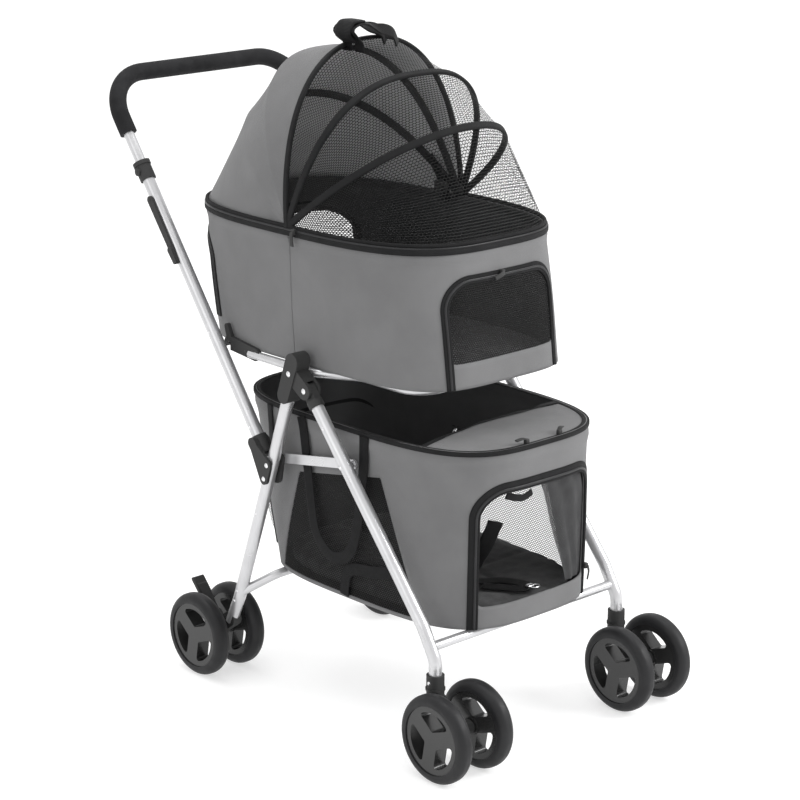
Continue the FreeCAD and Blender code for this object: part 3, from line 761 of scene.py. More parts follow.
@dataclass(frozen=True)
class SidePanel:
    """A straight-edged see-through panel in a carrier's side wall, as corners (y, z)."""

    corners: tuple[Pair, ...]

    def nearest(self, y: float, z: float) -> Pair:
        """The nearest point on the panel's edge."""
        best, found = 1e9, (y, z)
        here = Vector((y, z))
        for start, end in zip(self.corners, self.corners[1:] + self.corners[:1]):
            first, line = Vector(start), Vector(end) - Vector(start)
            share = min(max((here - first).dot(line) / line.length_squared, 0.0), 1.0)
            spot = first + line * share
            if (here - spot).length < best:
                best, found = (here - spot).length, (spot.x, spot.y)
        return found

    def holds(self, y: float, z: float) -> bool:
        """Whether a point is inside; the corners run round one way."""
        signs = set()
        for start, end in zip(self.corners, self.corners[1:] + self.corners[:1]):
            turn = (end[0] - start[0]) * (z - start[1]) - (end[1] - start[1]) * (y - start[0])
            signs.add(turn > 0.0)
        return len(signs) == 1


# ---------------------------------------------------------------- the carriers


@dataclass
class Carrier:
    """What both carriers share: a cloth wall with a window at each end, and a cushion."""

    name: str
    body: str
    wall: Wall
    front: Opening
    rear: Optional[Opening] = None
    panel: Optional[SidePanel] = None
    cloth: float = 0.003
    floor: float = 0.006
    bulge: float = 0.0
    pad_top: float = 0.025

    def openings(self) -> list[Opening]:
        """The windows that are cut through the wall."""
        return [opening for opening in (self.front, self.rear) if opening]

    def dropped(self, spot: Vector) -> bool:
        """Whether a point of the wall lies in one of its openings."""
        if any(opening.holds(spot) for opening in self.openings()):
            return True
        ring = self.wall.ring(spot.z)
        flank = abs(spot.x) > ring.a * 0.8
        return bool(self.panel) and flank and self.panel.holds(spot.y, spot.z)

    def trimmed(self, spot: Vector) -> Vector:
        """Moves a ragged point of an opening's edge onto the true edge."""
        low, high = self.wall.base.z + 1e-4, self.wall.rim.z - 1e-4
        if not low < spot.z < high:
            return spot
        for opening in self.openings():
            if opening.holds(spot, 0.02):
                x, z = opening.snapped(spot.x, spot.z)
                return self.wall.across(x, z, opening.end)
        if self.panel:
            y, z = self.panel.nearest(spot.y, spot.z)
            return self.wall.along(y, z, math.copysign(1.0, spot.x))
        return spot

    def skin_depth(self, spot: Vector) -> float:
        """How far the cloth stands out of the straight wall at a point."""
        height = (spot.z - self.wall.base.z) / (self.wall.rim.z - self.wall.base.z)
        welt = 0.0028 * math.exp(-(((height - 0.93) / 0.035) ** 2))
        belly = self.bulge * math.sin(math.pi * min(max(height, 0.0), 1.0))
        return welt + belly + rippled(spot, 9.0, 0.0016)

    def make_wall(self, replaces: Sequence[str]) -> None:
        """The cloth wall and floor, grey outside and dark inside."""
        low, high = self.wall.base.z, self.wall.rim.z
        loop = self.wall.loop(low)
        spins = [math.atan2(point.y - self.wall.base.y, point.x) for point in loop]

        def place(around: float, up: float) -> Vector:
            """The wall's point at a share of the way round and up."""
            z = low + (high - low) * up
            return self.wall.ring(z).at(spins[round(around * (len(spins) - 1))])

        rows = round((high - low) / 0.0058)
        mesh = grid(place, (len(loop) - 1, rows), (lengths(loop)[-1], high - low), joined=True)
        doomed = [face for face in mesh.faces if self.dropped(face.calc_center_median())]
        bmesh.ops.delete(mesh, geom=doomed, context="FACES")
        for vert in mesh.verts:
            if vert.is_boundary:
                vert.co = self.trimmed(vert.co)
        for vert in mesh.verts:
            if not vert.is_boundary:
                vert.co += self.wall.outward(vert.co) * self.skin_depth(vert.co)
        bottom = [e for e in mesh.edges if e.is_boundary and all(v.co.z < low + 1e-4 for v in e.verts)]
        bmesh.ops.contextual_create(mesh, geom=bottom)
        inside = self.wall.middle((low + high) / 2)
        finished(
            self.name + "_shell", mesh, (GREY_CLOTH, LINING), Slot.GREY, self.body, inside, 0.0025, replaces
        )

    def end_panel(
        self,
        opening: Opening,
        name: str,
        body: str,
        bulge: float,
        replaces: Sequence[str],
        lift: float = -0.0012,
    ) -> None:
        """A net panel in or over an end wall, stretched or bulging.

        Args:
            opening: the window.
            name: the piece's name.
            body: what it rides on.
            bulge: how far its middle stands out.
            replaces: the CAD nodes that it stands for.
            lift: how far its edge stands out of the wall's line.
        """
        width, height = 2.0 * opening.half_width + 0.016, opening.high - opening.low + 0.016

        def place(across: float, up: float) -> Vector:
            """The panel's point at a share of its width and height."""
            x, z = (across - 0.5) * width, opening.low - 0.008 + height * up
            swell = bulge * math.sin(math.pi * across) ** 0.6 * math.sin(math.pi * up) ** 0.7
            spot = self.wall.across(x, z, opening.end)
            return spot + self.wall.outward(spot) * (swell + lift + rippled(spot, 14.0, 0.0012))

        mesh = grid(place, (72, 48), (width, height))
        doomed = [f for f in mesh.faces if opening.gap(*f.calc_center_median().xz) > 0.006]
        bmesh.ops.delete(mesh, geom=doomed, context="FACES")
        inside = self.wall.middle(opening.low)
        piece = finished(name, mesh, (WINDOW_NET,), Slot.NET, body, inside, replaces=replaces)
        area = sum(face.area for face in piece.data.polygons)
        area = min(area, width * height)

    def surround(self, opening: Opening, foot: float, width: float, name: str) -> None:
        """The black border of a window with the zip that runs round it.

        Args:
            opening: the window.
            foot: the height that both ends run down to.
            width: the border's width.
            name: the piece's name.
        """
        line = opening.edge(foot)
        middle = Vector((0.0, opening.high - 0.06))

        def outset(metres: float, out: float) -> list[Vector]:
            """The window's edge moved outside it, and stood out of the wall."""
            points = []
            for index, (x, z) in enumerate(line):
                before, after = line[max(index - 1, 0)], line[min(index + 1, len(line) - 1)]
                ahead = Vector((after[0] - before[0], after[1] - before[1])).normalized()
                side = Vector((-ahead.y, ahead.x))
                if side.dot(Vector((x, z)) - middle) < 0.0:
                    side.negate()
                x, z = x + side.x * metres, z + side.y * metres
                spot = self.wall.across(x, z, opening.end)
                points.append(spot + self.wall.outward(spot) * (out + self.skin_depth(spot)))
            return points

        border = swept(outset(width / 2 - 0.003, 0.0002), band_section(width, 0.0044), self.wall.outward, 16)
        finished(name, border, (BLACK_CLOTH,), Slot.SLEEVE, self.body)
        coil = swept(outset(0.004, 0.0026), band_section(0.0042, 0.0022), self.wall.outward, 8)
        finished(name + "_zip", coil, (ZIP,), Slot.SLEEVE, self.body)

    def piping(self, z: float, grow: float, section: Section, name: str) -> None:
        """A bound edge that runs right round the carrier.

        Args:
            z: its height.
            grow: how far it stands out of the wall.
            section: its section.
            name: the piece's name.
        """
        path = self.wall.loop(z, grow, 300)
        mesh = swept(path, section, self.wall.outward, 12, closed=True)
        finished(name, mesh, (BLACK_CLOTH,), Slot.SLEEVE, self.body)

    def make_pad(self, replaces: Sequence[str]) -> None:
        """The plush cushion: a slack slab blown up by cloth simulation, then quilted."""
        low = self.wall.base.z + self.floor + 0.0008
        high = low + self.pad_top - 0.0075
        ring = self.wall.ring(low)
        mesh = bmesh.new()
        bmesh.ops.create_circle(mesh, cap_ends=True, segments=96, radius=1.0)
        for vert in mesh.verts:
            spot = ring.at(math.atan2(vert.co.y, vert.co.x), -0.014)
            vert.co = Vector((spot.x, spot.y, low))
        slab = bmesh.ops.extrude_face_region(mesh, geom=mesh.faces[:])
        for item in slab["geom"]:
            if isinstance(item, bmesh.types.BMVert):
                item.co.z = high
        bmesh.ops.recalc_face_normals(mesh, faces=mesh.faces[:])
        pad = finished(self.name + "_cushion", mesh, (PLUSH,), Slot.PAD, replaces=replaces)
        remesh = pad.modifiers.new("even", "REMESH")
        remesh.mode = "VOXEL"
        remesh.voxel_size = 0.006
        self.bake(pad)
        self.inflate(pad, 0.006)
        for vert in pad.data.vertices:
            if vert.co.z > (low + high) / 2:
                vert.co.z -= self.channel(vert.co.x, vert.co.y - ring.y)
            vert.co.z = min(max(vert.co.z, low), low + self.pad_top - 0.001)
        smooth = pad.modifiers.new("soft", "SUBSURF")
        smooth.levels = smooth.render_levels = 1
        for face in pad.data.polygons:
            face.use_smooth = True
        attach(pad, self.body)

    def channel(self, x: float, y: float) -> float:
        """How deep the sewn channels press into the cushion at a point."""
        gaps = [abs(x), abs(abs(y) - 0.10)]
        return sum(0.0035 * math.exp(-((gap / 0.006) ** 2)) for gap in gaps)

    def bake(self, piece: bpy.types.Object) -> None:
        """Turns a piece's modifiers into its own mesh."""
        graph = bpy.context.evaluated_depsgraph_get()
        data = bpy.data.meshes.new_from_object(piece.evaluated_get(graph))
        piece.modifiers.clear()
        piece.data = data

    def inflate(self, piece: bpy.types.Object, cap: float) -> None:
        """Blows a closed cloth piece up a little.

        Args:
            piece: the cushion.
            cap: how far any point may move.
        """
        rest = [vert.co.copy() for vert in piece.data.vertices]
        cloth = piece.modifiers.new("stuffing", "CLOTH")
        cloth.settings.use_pressure = True
        cloth.settings.uniform_pressure_force = 4.0
        cloth.settings.effector_weights.gravity = 0.0
        scene = bpy.context.scene
        for step in range(1, 21):
            scene.frame_set(step)
        self.bake(piece)
        scene.frame_set(1)
        for vert, start in zip(piece.data.vertices, rest):
            move = vert.co - start
            if move.length > cap:
                vert.co = start + move * (cap / move.length)


UPPER = Carrier(
    name="upper_carrier",
    body="upper_carrier",
    wall=Wall(Outline(0.190, 0.302, -0.017, 0.604, 4.2), Outline(0.200, 0.310, 0.015, 0.836, 3.2)),
    front=Opening(0.116, 0.646, 0.776, 0.044),
    rear=Opening(0.164, 0.646, 0.776, 0.036, 0.020, End.REAR),
    bulge=0.0015,
)

LOWER = Carrier(
    name="lower_carrier",
    body="lower_carrier",
    wall=Wall(Outline(0.182, 0.270, -0.127, 0.211, 3.5), Outline(0.188, 0.304, -0.099, 0.518, 3.5)),
    front=Opening(0.124, 0.250, 0.446, 0.044),
    panel=SidePanel(((0.000, 0.409), (-0.207, 0.447), (-0.290, 0.2175), (0.068, 0.2175))),
    bulge=0.0010,
    pad_top=0.031,
)


REAR_POCKET = Opening(0.130, 0.250, 0.430, 0.034, 0.034, End.REAR)


# ---------------------------------------------------------------- trim of the carriers


def inward_strip(wall: Wall, z: float, width: float) -> bmesh.types.BMesh:
    """A level strip round the inside of a carrier's rim."""
    outer = wall.loop(z, 0.0, 240)
    inner = wall.loop(z, -width, 240)

    def place(around: float, across: float) -> Vector:
        """The strip's point at a share round the wall and a share of its width."""
        index = round(around * 240)
        return outer[index].lerp(inner[index], across)

    return grid(place, (240, 3), (lengths(outer)[-1], width), joined=True)


def box_part(size: Vector, middle: Vector, edge: float) -> bmesh.types.BMesh:
    """A small block with rounded edges."""
    mesh = bmesh.new()
    mesh.loops.layers.uv.new("UVMap")
    bmesh.ops.create_cube(mesh, size=1.0)
    bmesh.ops.scale(mesh, vec=size, verts=mesh.verts[:])
    bmesh.ops.bevel(
        mesh, geom=mesh.edges[:], offset=edge, affect="EDGES", segments=3, profile=0.5, material=-1
    )
    bmesh.ops.translate(mesh, vec=middle, verts=mesh.verts[:])
    return mesh


@dataclass(frozen=True)
class ZipPull:
    """A slider with a cord tab that hangs from it."""

    name: str
    body: str
    spot: Vector
    out: Vector
    fall: Vector
    tab: float = 0.024

    def make(self) -> None:
        """The slider's block and its tab."""
        slider = box_part(Vector((0.008, 0.008, 0.010)), self.spot + self.out * 0.003, 0.002)
        start = self.spot + self.out * 0.007
        path = [start, start + self.out * 0.002 + self.fall * 0.4 * self.tab, start + self.fall * self.tab]
        tab = swept(curved(path, 0.002), band_section(0.0078, 0.0026), lambda _: self.out, 10)
        finished(self.name, merged([slider, tab]), (PLASTIC,), Slot.PLASTIC, self.body)


@dataclass(frozen=True)
class Strap:
    """A run of webbing."""

    name: str
    body: str
    points: tuple[Vector, ...]
    facing: Facing
    width: float = 0.024
    thickness: float = 0.0022
    replaces: tuple[str, ...] = ()

    def mesh(self) -> bmesh.types.BMesh:
        """The webbing's closed surface."""
        section = band_section(self.width, self.thickness)
        return swept(curved(self.points, 0.004), section, self.facing, 12)

    def make(self, both_sides: bool = False) -> None:
        """Makes the webbing, and its twin on the other side if asked for."""
        parts = [self.mesh()]
        if both_sides:
            parts.append(mirrored(parts[0]))
        finished(self.name, merged(parts), (WEBBING,), Slot.WEBBING, self.body, replaces=self.replaces)


@dataclass
class UpperCarrier:
    """The upper carrier with its zipped front door, rear window and rim."""

    carrier: Carrier = field(default_factory=lambda: UPPER)
    front_border: Pair = (0.6045, 0.015)
    rear_border: Pair = (0.6400, 0.021)
    binding_z: float = 0.8292
    hem_z: float = 0.8395
    zip_z: float = 0.8350
    rim_pull: Pair = (-0.018, 0.834)
    door_pull: Pair = (-0.006, 0.784)
    seam_y: float = 0.001
    seam_foot: float = 0.606
    seam_height: float = 0.216

    def make(self) -> None:
        """Builds the carrier piece by piece."""
        carrier = self.carrier
        carrier.make_wall(("upper_body",))
        carrier.end_panel(carrier.front, "upper_front_net", "upper_door", 0.003, ("upper_door",))
        carrier.end_panel(carrier.rear, "upper_rear_net", carrier.body, 0.004, ())
        carrier.surround(carrier.front, *self.front_border, "upper_front_border")
        carrier.surround(carrier.rear, *self.rear_border, "upper_rear_border")
        carrier.piping(self.binding_z, 0.0030, band_section(0.0100, 0.0052), "upper_rim_binding")
        carrier.piping(self.hem_z, 0.0012, band_section(0.0064, 0.0050), "upper_rim_hem")
        path = carrier.wall.loop(self.zip_z, 0.0036, 300)
        coil = swept(path, band_section(0.0040, 0.0030), carrier.wall.outward, 8, True)
        finished("upper_rim_zip", coil, (ZIP,), Slot.SLEEVE, carrier.body)
        carrier.make_pad(("upper_pad",))
        self.seams()
        down = Vector((0.0, 0.0, -1.0))
        side = carrier.wall.along(*self.rim_pull, -1.0, 0.003)
        ZipPull("upper_rim_pull", carrier.body, side, Vector((-1, 0, 0)), down).make()
        front = carrier.wall.across(*self.door_pull, End.FRONT, 0.003)
        ZipPull("upper_door_pull", carrier.body, front, Vector((0, -1, 0)), Vector((-0.8, 0, -0.3))).make()

    def seams(self) -> None:
        """The upright seams on both sides, drawn as fine welts."""
        wall = self.carrier.wall
        parts = []
        for side in (-1.0, 1.0):
            heights = [self.seam_foot + self.seam_height * step / 40 for step in range(41)]
            spots = [wall.along(self.seam_y, z, side) for z in heights]
            path = [p + wall.outward(p) * (0.0002 + self.carrier.skin_depth(p)) for p in spots]
            parts.append(swept(path, band_section(0.0024, 0.0010), wall.outward, 8))
        finished("upper_side_seams", merged(parts), (GREY_CLOTH,), Slot.GREY, self.carrier.body)


@dataclass
class LowerCarrier:
    """The lower carrier with side nets, roof flap, open front and hanging straps."""

    carrier: Carrier = field(default_factory=lambda: LOWER)
    front_border: Pair = (0.2115, 0.019)
    rear_border: Pair = (0.2400, 0.019)
    binding_z: float = 0.5145
    hem_z: float = 0.5178
    hem_width: float = 0.008
    flap_y: float = -0.268
    flap_z: float = 0.5166
    roll_z: float = 0.5150
    roof_pull_xs: Pair = (-0.034, 0.043)
    door_pull: Pair = (0.128, 0.262)
    door_height: float = 0.19
    loop_route: tuple[Spot, ...] = (
        (-0.014, 0.512, 0.004),
        (-0.021, 0.489, 0.005),
        (-0.028, 0.444, 0.006),
        (-0.039, 0.373, 0.008),
        (-0.049, 0.326, 0.010),
        (-0.066, 0.300, 0.011),
        (-0.092, 0.284, 0.012),
        (-0.122, 0.287, 0.012),
        (-0.145, 0.308, 0.011),
        (-0.158, 0.350, 0.009),
        (-0.166, 0.400, 0.007),
        (-0.172, 0.455, 0.005),
        (-0.174, 0.512, 0.004),
    )
    tie_route: tuple[Spot, ...] = (
        (-0.115, 0.216, 0.0025),
        (-0.119, 0.240, 0.0035),
        (-0.128, 0.262, 0.004),
        (-0.150, 0.272, 0.004),
        (-0.190, 0.277, 0.0035),
        (-0.240, 0.288, 0.0025),
    )
    tab_route: tuple[Spot, ...] = ((0.078, 0.512, 0.004), (0.076, 0.470, 0.0045), (0.079, 0.430, 0.004))
    tether_route: tuple[Spot, ...] = (
        (-0.060, -0.352, 0.378),
        (-0.060, -0.330, 0.334),
        (-0.060, -0.308, 0.300),
        (-0.058, -0.289, 0.268),
        (-0.050, -0.284, 0.2535),
        (-0.030, -0.296, 0.2510),
        (-0.006, -0.312, 0.2508),
        (0.008, -0.340, 0.2508),
        (0.008, -0.364, 0.2510),
        (-0.012, -0.362, 0.2514),
        (-0.034, -0.336, 0.2522),
        (-0.052, -0.314, 0.2535),
    )
    fold_route: tuple[Pair, ...] = ((-0.078, 0.437), (-0.060, 0.431), (-0.042, 0.427), (-0.022, 0.433))

    def make(self) -> None:
        """Builds the carrier piece by piece."""
        carrier = self.carrier
        carrier.make_wall(("lower_body",))
        self.side_nets()
        carrier.end_panel(REAR_POCKET, "lower_rear_pocket", carrier.body, 0.034, (), 0.004)
        carrier.surround(carrier.front, *self.front_border, "lower_front_border")
        carrier.surround(REAR_POCKET, *self.rear_border, "lower_rear_border")
        carrier.piping(self.binding_z, 0.0012, band_section(0.0078, 0.0048), "lower_rim_binding")
        strip = inward_strip(carrier.wall, self.hem_z, self.hem_width)
        inside = carrier.wall.middle(0.3)
        finished("lower_roof_hem", strip, (BLACK_CLOTH,), Slot.SLEEVE, carrier.body, inside, 0.0012)
        self.roof_flap()
        self.gathered_door()
        carrier.make_pad(("lower_pad",))
        self.straps()
        for index, x in enumerate(self.roof_pull_xs):
            spot = carrier.wall.across(x, 0.5175, End.FRONT, -0.008)
            fall = Vector((0.8, 0.5, 0.0)) if index else Vector((-0.9, 0.2, 0.0))
            ZipPull("lower_roof_pull_%d" % index, carrier.body, spot, UP, fall, 0.022).make()
        spot = carrier.wall.across(*self.door_pull, End.FRONT, 0.003)
        ZipPull("lower_door_pull", carrier.body, spot, Vector((0.5, -0.85, 0)), Vector((0, 0, -1))).make()

    def side_nets(self) -> None:
        """The see-through side panels."""
        wall, panel = self.carrier.wall, self.carrier.panel
        low = min(z for _, z in panel.corners)
        high = max(z for _, z in panel.corners)
        front = min(y for y, _ in panel.corners)
        rear = max(y for y, _ in panel.corners)
        for name, side in (("left", -1.0), ("right", 1.0)):

            def place(across: float, up: float) -> Vector:
                """The net's point at a share of its width and height."""
                spot = wall.along(front + (rear - front) * across, low + (high - low) * up, side)
                return spot - wall.outward(spot) * 0.0012

            mesh = grid(place, (90, 58), (rear - front, high - low))
            doomed = []
            for face in mesh.faces:
                spot = face.calc_center_median()
                y, z = panel.nearest(spot.y, spot.z)
                if not panel.holds(spot.y, spot.z) and math.hypot(y - spot.y, z - spot.z) > 0.005:
                    doomed.append(face)
            bmesh.ops.delete(mesh, geom=doomed, context="FACES")
            piece = finished(
                "lower_side_net_" + name, mesh, (WINDOW_NET,), Slot.NET, self.carrier.body, wall.middle(0.35)
            )

    def flap_edge(self, share: float) -> float:
        """The y of the roof flap's rear edge, at a share of the way out to the right."""
        return self.flap_y - 0.030 * max(-share, 0.0) ** 1.5

    def roof_flap(self) -> None:
        """The grey half of the roof at the front, and the net roof rolled back to its edge."""
        wall = self.carrier.wall
        half = abs(wall.along(self.flap_y, 0.517, -1.0).x) - 0.004

        def place(across: float, ahead: float) -> Vector:
            """The flap's point at a share of its width and of its depth from the rear edge."""
            x = (2.0 * across - 1.0) * half
            rim = wall.across(x, 0.517, End.FRONT, -0.004)
            crown = 0.0035 * math.sin(math.pi * across) * math.sin(math.pi * min(ahead + 0.25, 1.0))
            rear = self.flap_edge(x / half)
            y = rear + (rim.y - rear) * ahead
            return Vector((x, y, self.flap_z + crown + rippled(Vector((x, y, 0)), 22.0, 0.0012)))

        flap = finished(
            "lower_roof_flap",
            grid(place, (64, 24), (2.0 * half, 0.13)),
            (GREY_CLOTH, LINING),
            Slot.GREY,
            self.carrier.body,
            wall.middle(0.3),
            0.0014,
        )
        spots = []
        for step in range(13):
            x = (step / 6.0 - 1.0) * (half - 0.006)
            wander = rippled(Vector((x, 0.4, 0.0)), 26.0, 0.006)
            rear = self.flap_edge(x / half)
            spots.append(Vector((x, rear + 0.005 + wander, self.roll_z + 0.4 * wander)))
        roll = swept(curved(spots), band_section(0.0125, 0.0072), lambda _: UP, 12)
        finished("lower_roof_roll", roll, (BLACK_CLOTH,), Slot.SLEEVE, self.carrier.body)

    def gathered_door(self) -> None:
        """The front net door, drawn aside and hanging in folds at the right."""
        wall, opening = self.carrier.wall, self.carrier.front

        def place(across: float, up: float) -> Vector:
            """The door's point at a share of its width and height."""
            z = opening.low + 0.003 + (opening.high - opening.low - 0.008) * up
            left = 0.001 + 0.366 * (0.437 - z) + 0.0015 * math.sin(9.0 * up)
            limit = opening.half_width - 0.002 - max(0.0, opening.corner - (opening.high - z)) * 0.5
            x = left + (limit - left) * across
            spot = wall.across(x, z, End.FRONT)
            fold = 0.0018 * math.sin(2.0 * math.pi * 2.5 * across + 1.5 * up) * (1.0 - 0.5 * across)
            return spot - wall.outward(spot) * (0.0040 + fold)

        door = finished(
            "lower_gathered_door",
            grid(place, (72, 40), (0.13, self.door_height)),
            (DOOR_NET,),
            Slot.NET,
            "lower_door",
            wall.middle(0.35),
            replaces=("lower_door",),
        )
        fold = tuple(wall.across(x, z, End.FRONT, -0.004) for x, z in self.fold_route)
        Strap("lower_door_fold", self.carrier.body, fold, wall.outward, 0.012).make()

    def on_side(self, y: float, z: float, out: float) -> Vector:
        """A point a little outside the left wall."""
        return self.carrier.wall.along(y, z, -1.0, out)

    def tether_facing(self, point: Vector) -> Vector:
        """Which way the tether faces: up where it lies on the cushion, and forwards where it hangs."""
        return UP if point.z < 0.26 else Vector((-0.5, -1, 0.6))

    def straps(self) -> None:
        """Hanging carry loops, the frame strap, the tether on the cushion and the rear tabs."""
        body, wall = self.carrier.body, self.carrier.wall
        routes = (self.loop_route, self.tie_route, self.tab_route)
        loop, tie, tabs = (tuple(self.on_side(*spot) for spot in route) for route in routes)
        Strap("lower_carry_loop", body, loop, wall.outward, 0.022).make()
        Strap("lower_frame_tie", body, tie, wall.outward, 0.022).make()
        Strap("lower_rear_tabs", body, tabs, wall.outward, 0.016).make(both_sides=True)
        tether = tuple(Vector(spot) for spot in self.tether_route)
        Strap("lower_tether", body, tether, self.tether_facing, 0.026).make()
        hook = [box_part(Vector((0.014, 0.010, 0.005)), Vector((0.006, -0.368, 0.2535)), 0.0018)]
        ring = [Vector((0.014 + 0.009 * math.cos(a), -0.372 + 0.007 * math.sin(a), 0.2520)) for a in
                (2.0 * math.pi * step / 32 for step in range(33))]
        hook.append(swept(ring, round_section(0.0014), lambda _: UP, 8, closed=True))
        finished("lower_tether_hook", merged(hook), (STEEL,), Slot.STEEL, body)


# ---------------------------------------------------------------- the canopy


@dataclass(frozen=True)
class Bow:
    """A sprung bow that leans from the side pivots; rearwards leans are positive."""

    lean: float
    height: float
    n: float = 2.3
    half_width: float = 0.201

    def line(self, shrink: float = 0.0, count: int = 97) -> list[Vector]:
        """Evenly spaced points from the left pivot over the top to the right one."""
        tilt = math.radians(self.lean)
        a, b = self.half_width - shrink, self.height - shrink
        points = []
        for index in range(361):
            angle = math.pi * index / 360
            cosine, sine = math.cos(angle), math.sin(angle)
            reach = (abs(cosine / a) ** self.n + abs(sine / b) ** self.n) ** (-1.0 / self.n)
            rise = reach * sine
            points.append(PIVOT + Vector((-reach * cosine, rise * math.sin(tilt), rise * math.cos(tilt))))
        return resampled(points, count)


PIVOT = Vector((0.0, 0.004, 0.8375))
MAIN_BOW = Bow(3.7, 0.294)
MIDDLE_BOW = Bow(-22.3, 0.267, 2.6)
FRONT_BOW = Bow(-52.5, 0.287, 2.1)
UPPER_REAR_BOW = Bow(26.2, 0.300, 2.6)
LOWER_REAR_BOW = Bow(52.0, 0.286, 2.5)


@dataclass
class Canopy:
    """Rear hood, net front in three gores, sleeved bows and carry straps."""

    rim: Wall = field(default_factory=lambda: UPPER.wall)
    rows: int = 10
    hood_sag: float = 0.003
    net_sag: float = 0.004
    front_sag: float = 0.002
    crown: float = 1.1295
    main_sleeve: Pair = (0.0105, 0.0062)
    bow_sleeve: Pair = (0.0125, 0.0066)
    rear_sleeve: Pair = (0.0150, 0.0060)
    strap_route: tuple[Spot, ...] = (
        (-0.052, 0.0, -0.014),
        (-0.053, 0.0, 0.000),
        (-0.064, 0.0, 0.011),
        (-0.073, 0.001, 0.021),
        (-0.067, 0.002, 0.0290),
        (-0.052, 0.002, 0.0330),
        (-0.035, 0.001, 0.0310),
        (-0.016, 0.0, 0.0230),
        (0.008, 0.0, 0.0175),
        (0.023, 0.0, 0.0105),
        (0.029, 0.0, 0.0010),
        (0.033, 0.0, -0.0085),
    )
    wrap_route: tuple[Pair, ...] = (
        (-0.060, 0.004),
        (-0.075, 0.016),
        (-0.071, 0.030),
        (-0.062, 0.0365),
        (-0.042, 0.0360),
    )
    inner_route: tuple[Spot, ...] = (
        (0.176, 0.060, 0.902),
        (0.181, 0.048, 0.884),
        (0.184, 0.036, 0.862),
        (0.182, 0.022, 0.842),
        (0.176, 0.010, 0.828),
    )

    def rim_line(self, end: End, count: int = 97) -> list[Vector]:
        """Half of the rim, from the left pivot round one end to the right pivot."""
        points = [Vector((-self.rim.rim.a, PIVOT.y, PIVOT.z))]
        for index in range(1, 180):
            spot = self.rim.rim.at(math.pi - end.value * math.pi * index / 180)
            if (spot.y - PIVOT.y) * end.value > 0.0:
                points.append(Vector((spot.x, spot.y, PIVOT.z)))
        points.append(Vector((self.rim.rim.a, PIVOT.y, PIVOT.z)))
        return resampled(points, count)

    def outward(self, point: Vector) -> Vector:
        """Which way is out of the canopy at a point."""
        return (point - PIVOT).normalized()

    def stretched(
        self,
        sections: Sequence[Sequence[Vector]],
        sag: float,
        fold: Callable[[float, float], float] = lambda u, v: 0.0,
    ) -> bmesh.types.BMesh:
        """Cloth stretched straight from each section to the next.

        Args:
            sections: lines with equal numbers of points.
            sag: how far the middle of each span hangs inwards.
            fold: how far folds stand out, at a share along the sections and a share of the span.

        Returns:
            The open sheet.
        """
        spans = len(sections) - 1
        last = len(sections[0]) - 1

        def place(along: float, across: float) -> Vector:
            """The cloth's point at a share along the sections and a share from first to last."""
            index = round(along * last)
            span = min(int(across * spans + 1e-6), spans - 1)
            share = across * spans - span
            spot = sections[span][index].lerp(sections[span + 1][index], share)
            hang = 4.0 * share * (1.0 - share) * math.sin(math.pi * along) ** 0.5
            out = fold(along, share) - sag * hang + rippled(spot, 10.0, 0.0012) * hang
            return spot + self.outward(spot) * out

        middle = last // 2
        depth = sum((a[middle] - b[middle]).length for a, b in zip(sections, sections[1:]))
        return grid(place, (last, self.rows * spans), (lengths(sections[0])[-1], depth))

    def declared(self, piece: bpy.types.Object) -> None:
        """Reads a gore's width and length from its map, and does nothing more with them."""
        layer = piece.data.uv_layers[0].data
        width = max(spot.uv.x for spot in layer)
        length = max(spot.uv.y for spot in layer)

    def make(self) -> None:
        """Builds the canopy piece by piece."""
        hood_lines = [MAIN_BOW.line(), UPPER_REAR_BOW.line(), LOWER_REAR_BOW.line(), self.rim_line(End.REAR)]
        hood = finished(
            "canopy_hood_cloth",
            self.stretched(hood_lines, self.hood_sag),
            (HOOD_CLOTH, HOOD_LINING),
            Slot.GREY,
            "upper_carrier",
            PIVOT,
            0.0011,
            ("canopy_hood",),
        )
        self.declared(hood)
        self.gores()
        main = ("canopy_main_bows",)
        self.sleeve(MAIN_BOW, "canopy_main_sleeve", "upper_carrier", self.main_sleeve, -0.001, main)
        for index, bow in enumerate((UPPER_REAR_BOW, LOWER_REAR_BOW)):
            name = "canopy_rear_sleeve_%d" % index
            self.sleeve(bow, name, "upper_carrier", self.rear_sleeve, 0.0050, (), GREY_SLEEVE)
        for bow, side in ((MIDDLE_BOW, "middle"), (FRONT_BOW, "front")):
            name, node = "canopy_%s_sleeve" % side, "canopy_%s_bow" % side
            self.sleeve(bow, name, "bow_" + side, self.bow_sleeve, 0.0, (node,))
        self.pivots()
        self.carry_straps()
        self.inner_strap()

    def gores(self) -> None:
        """The three net gores, each held between its two bows or the rim."""

        def gathers(along: float, share: float) -> float:
            """How far the net's gathers stand out on the right."""
            reach = min(max((along - 0.52) / 0.2, 0.0), 1.0) * min((1.0 - along) / 0.06, 1.0)
            return 0.0042 * reach * math.sin(2.0 * math.pi * 17.0 * along) * math.sin(math.pi * share) ** 0.7

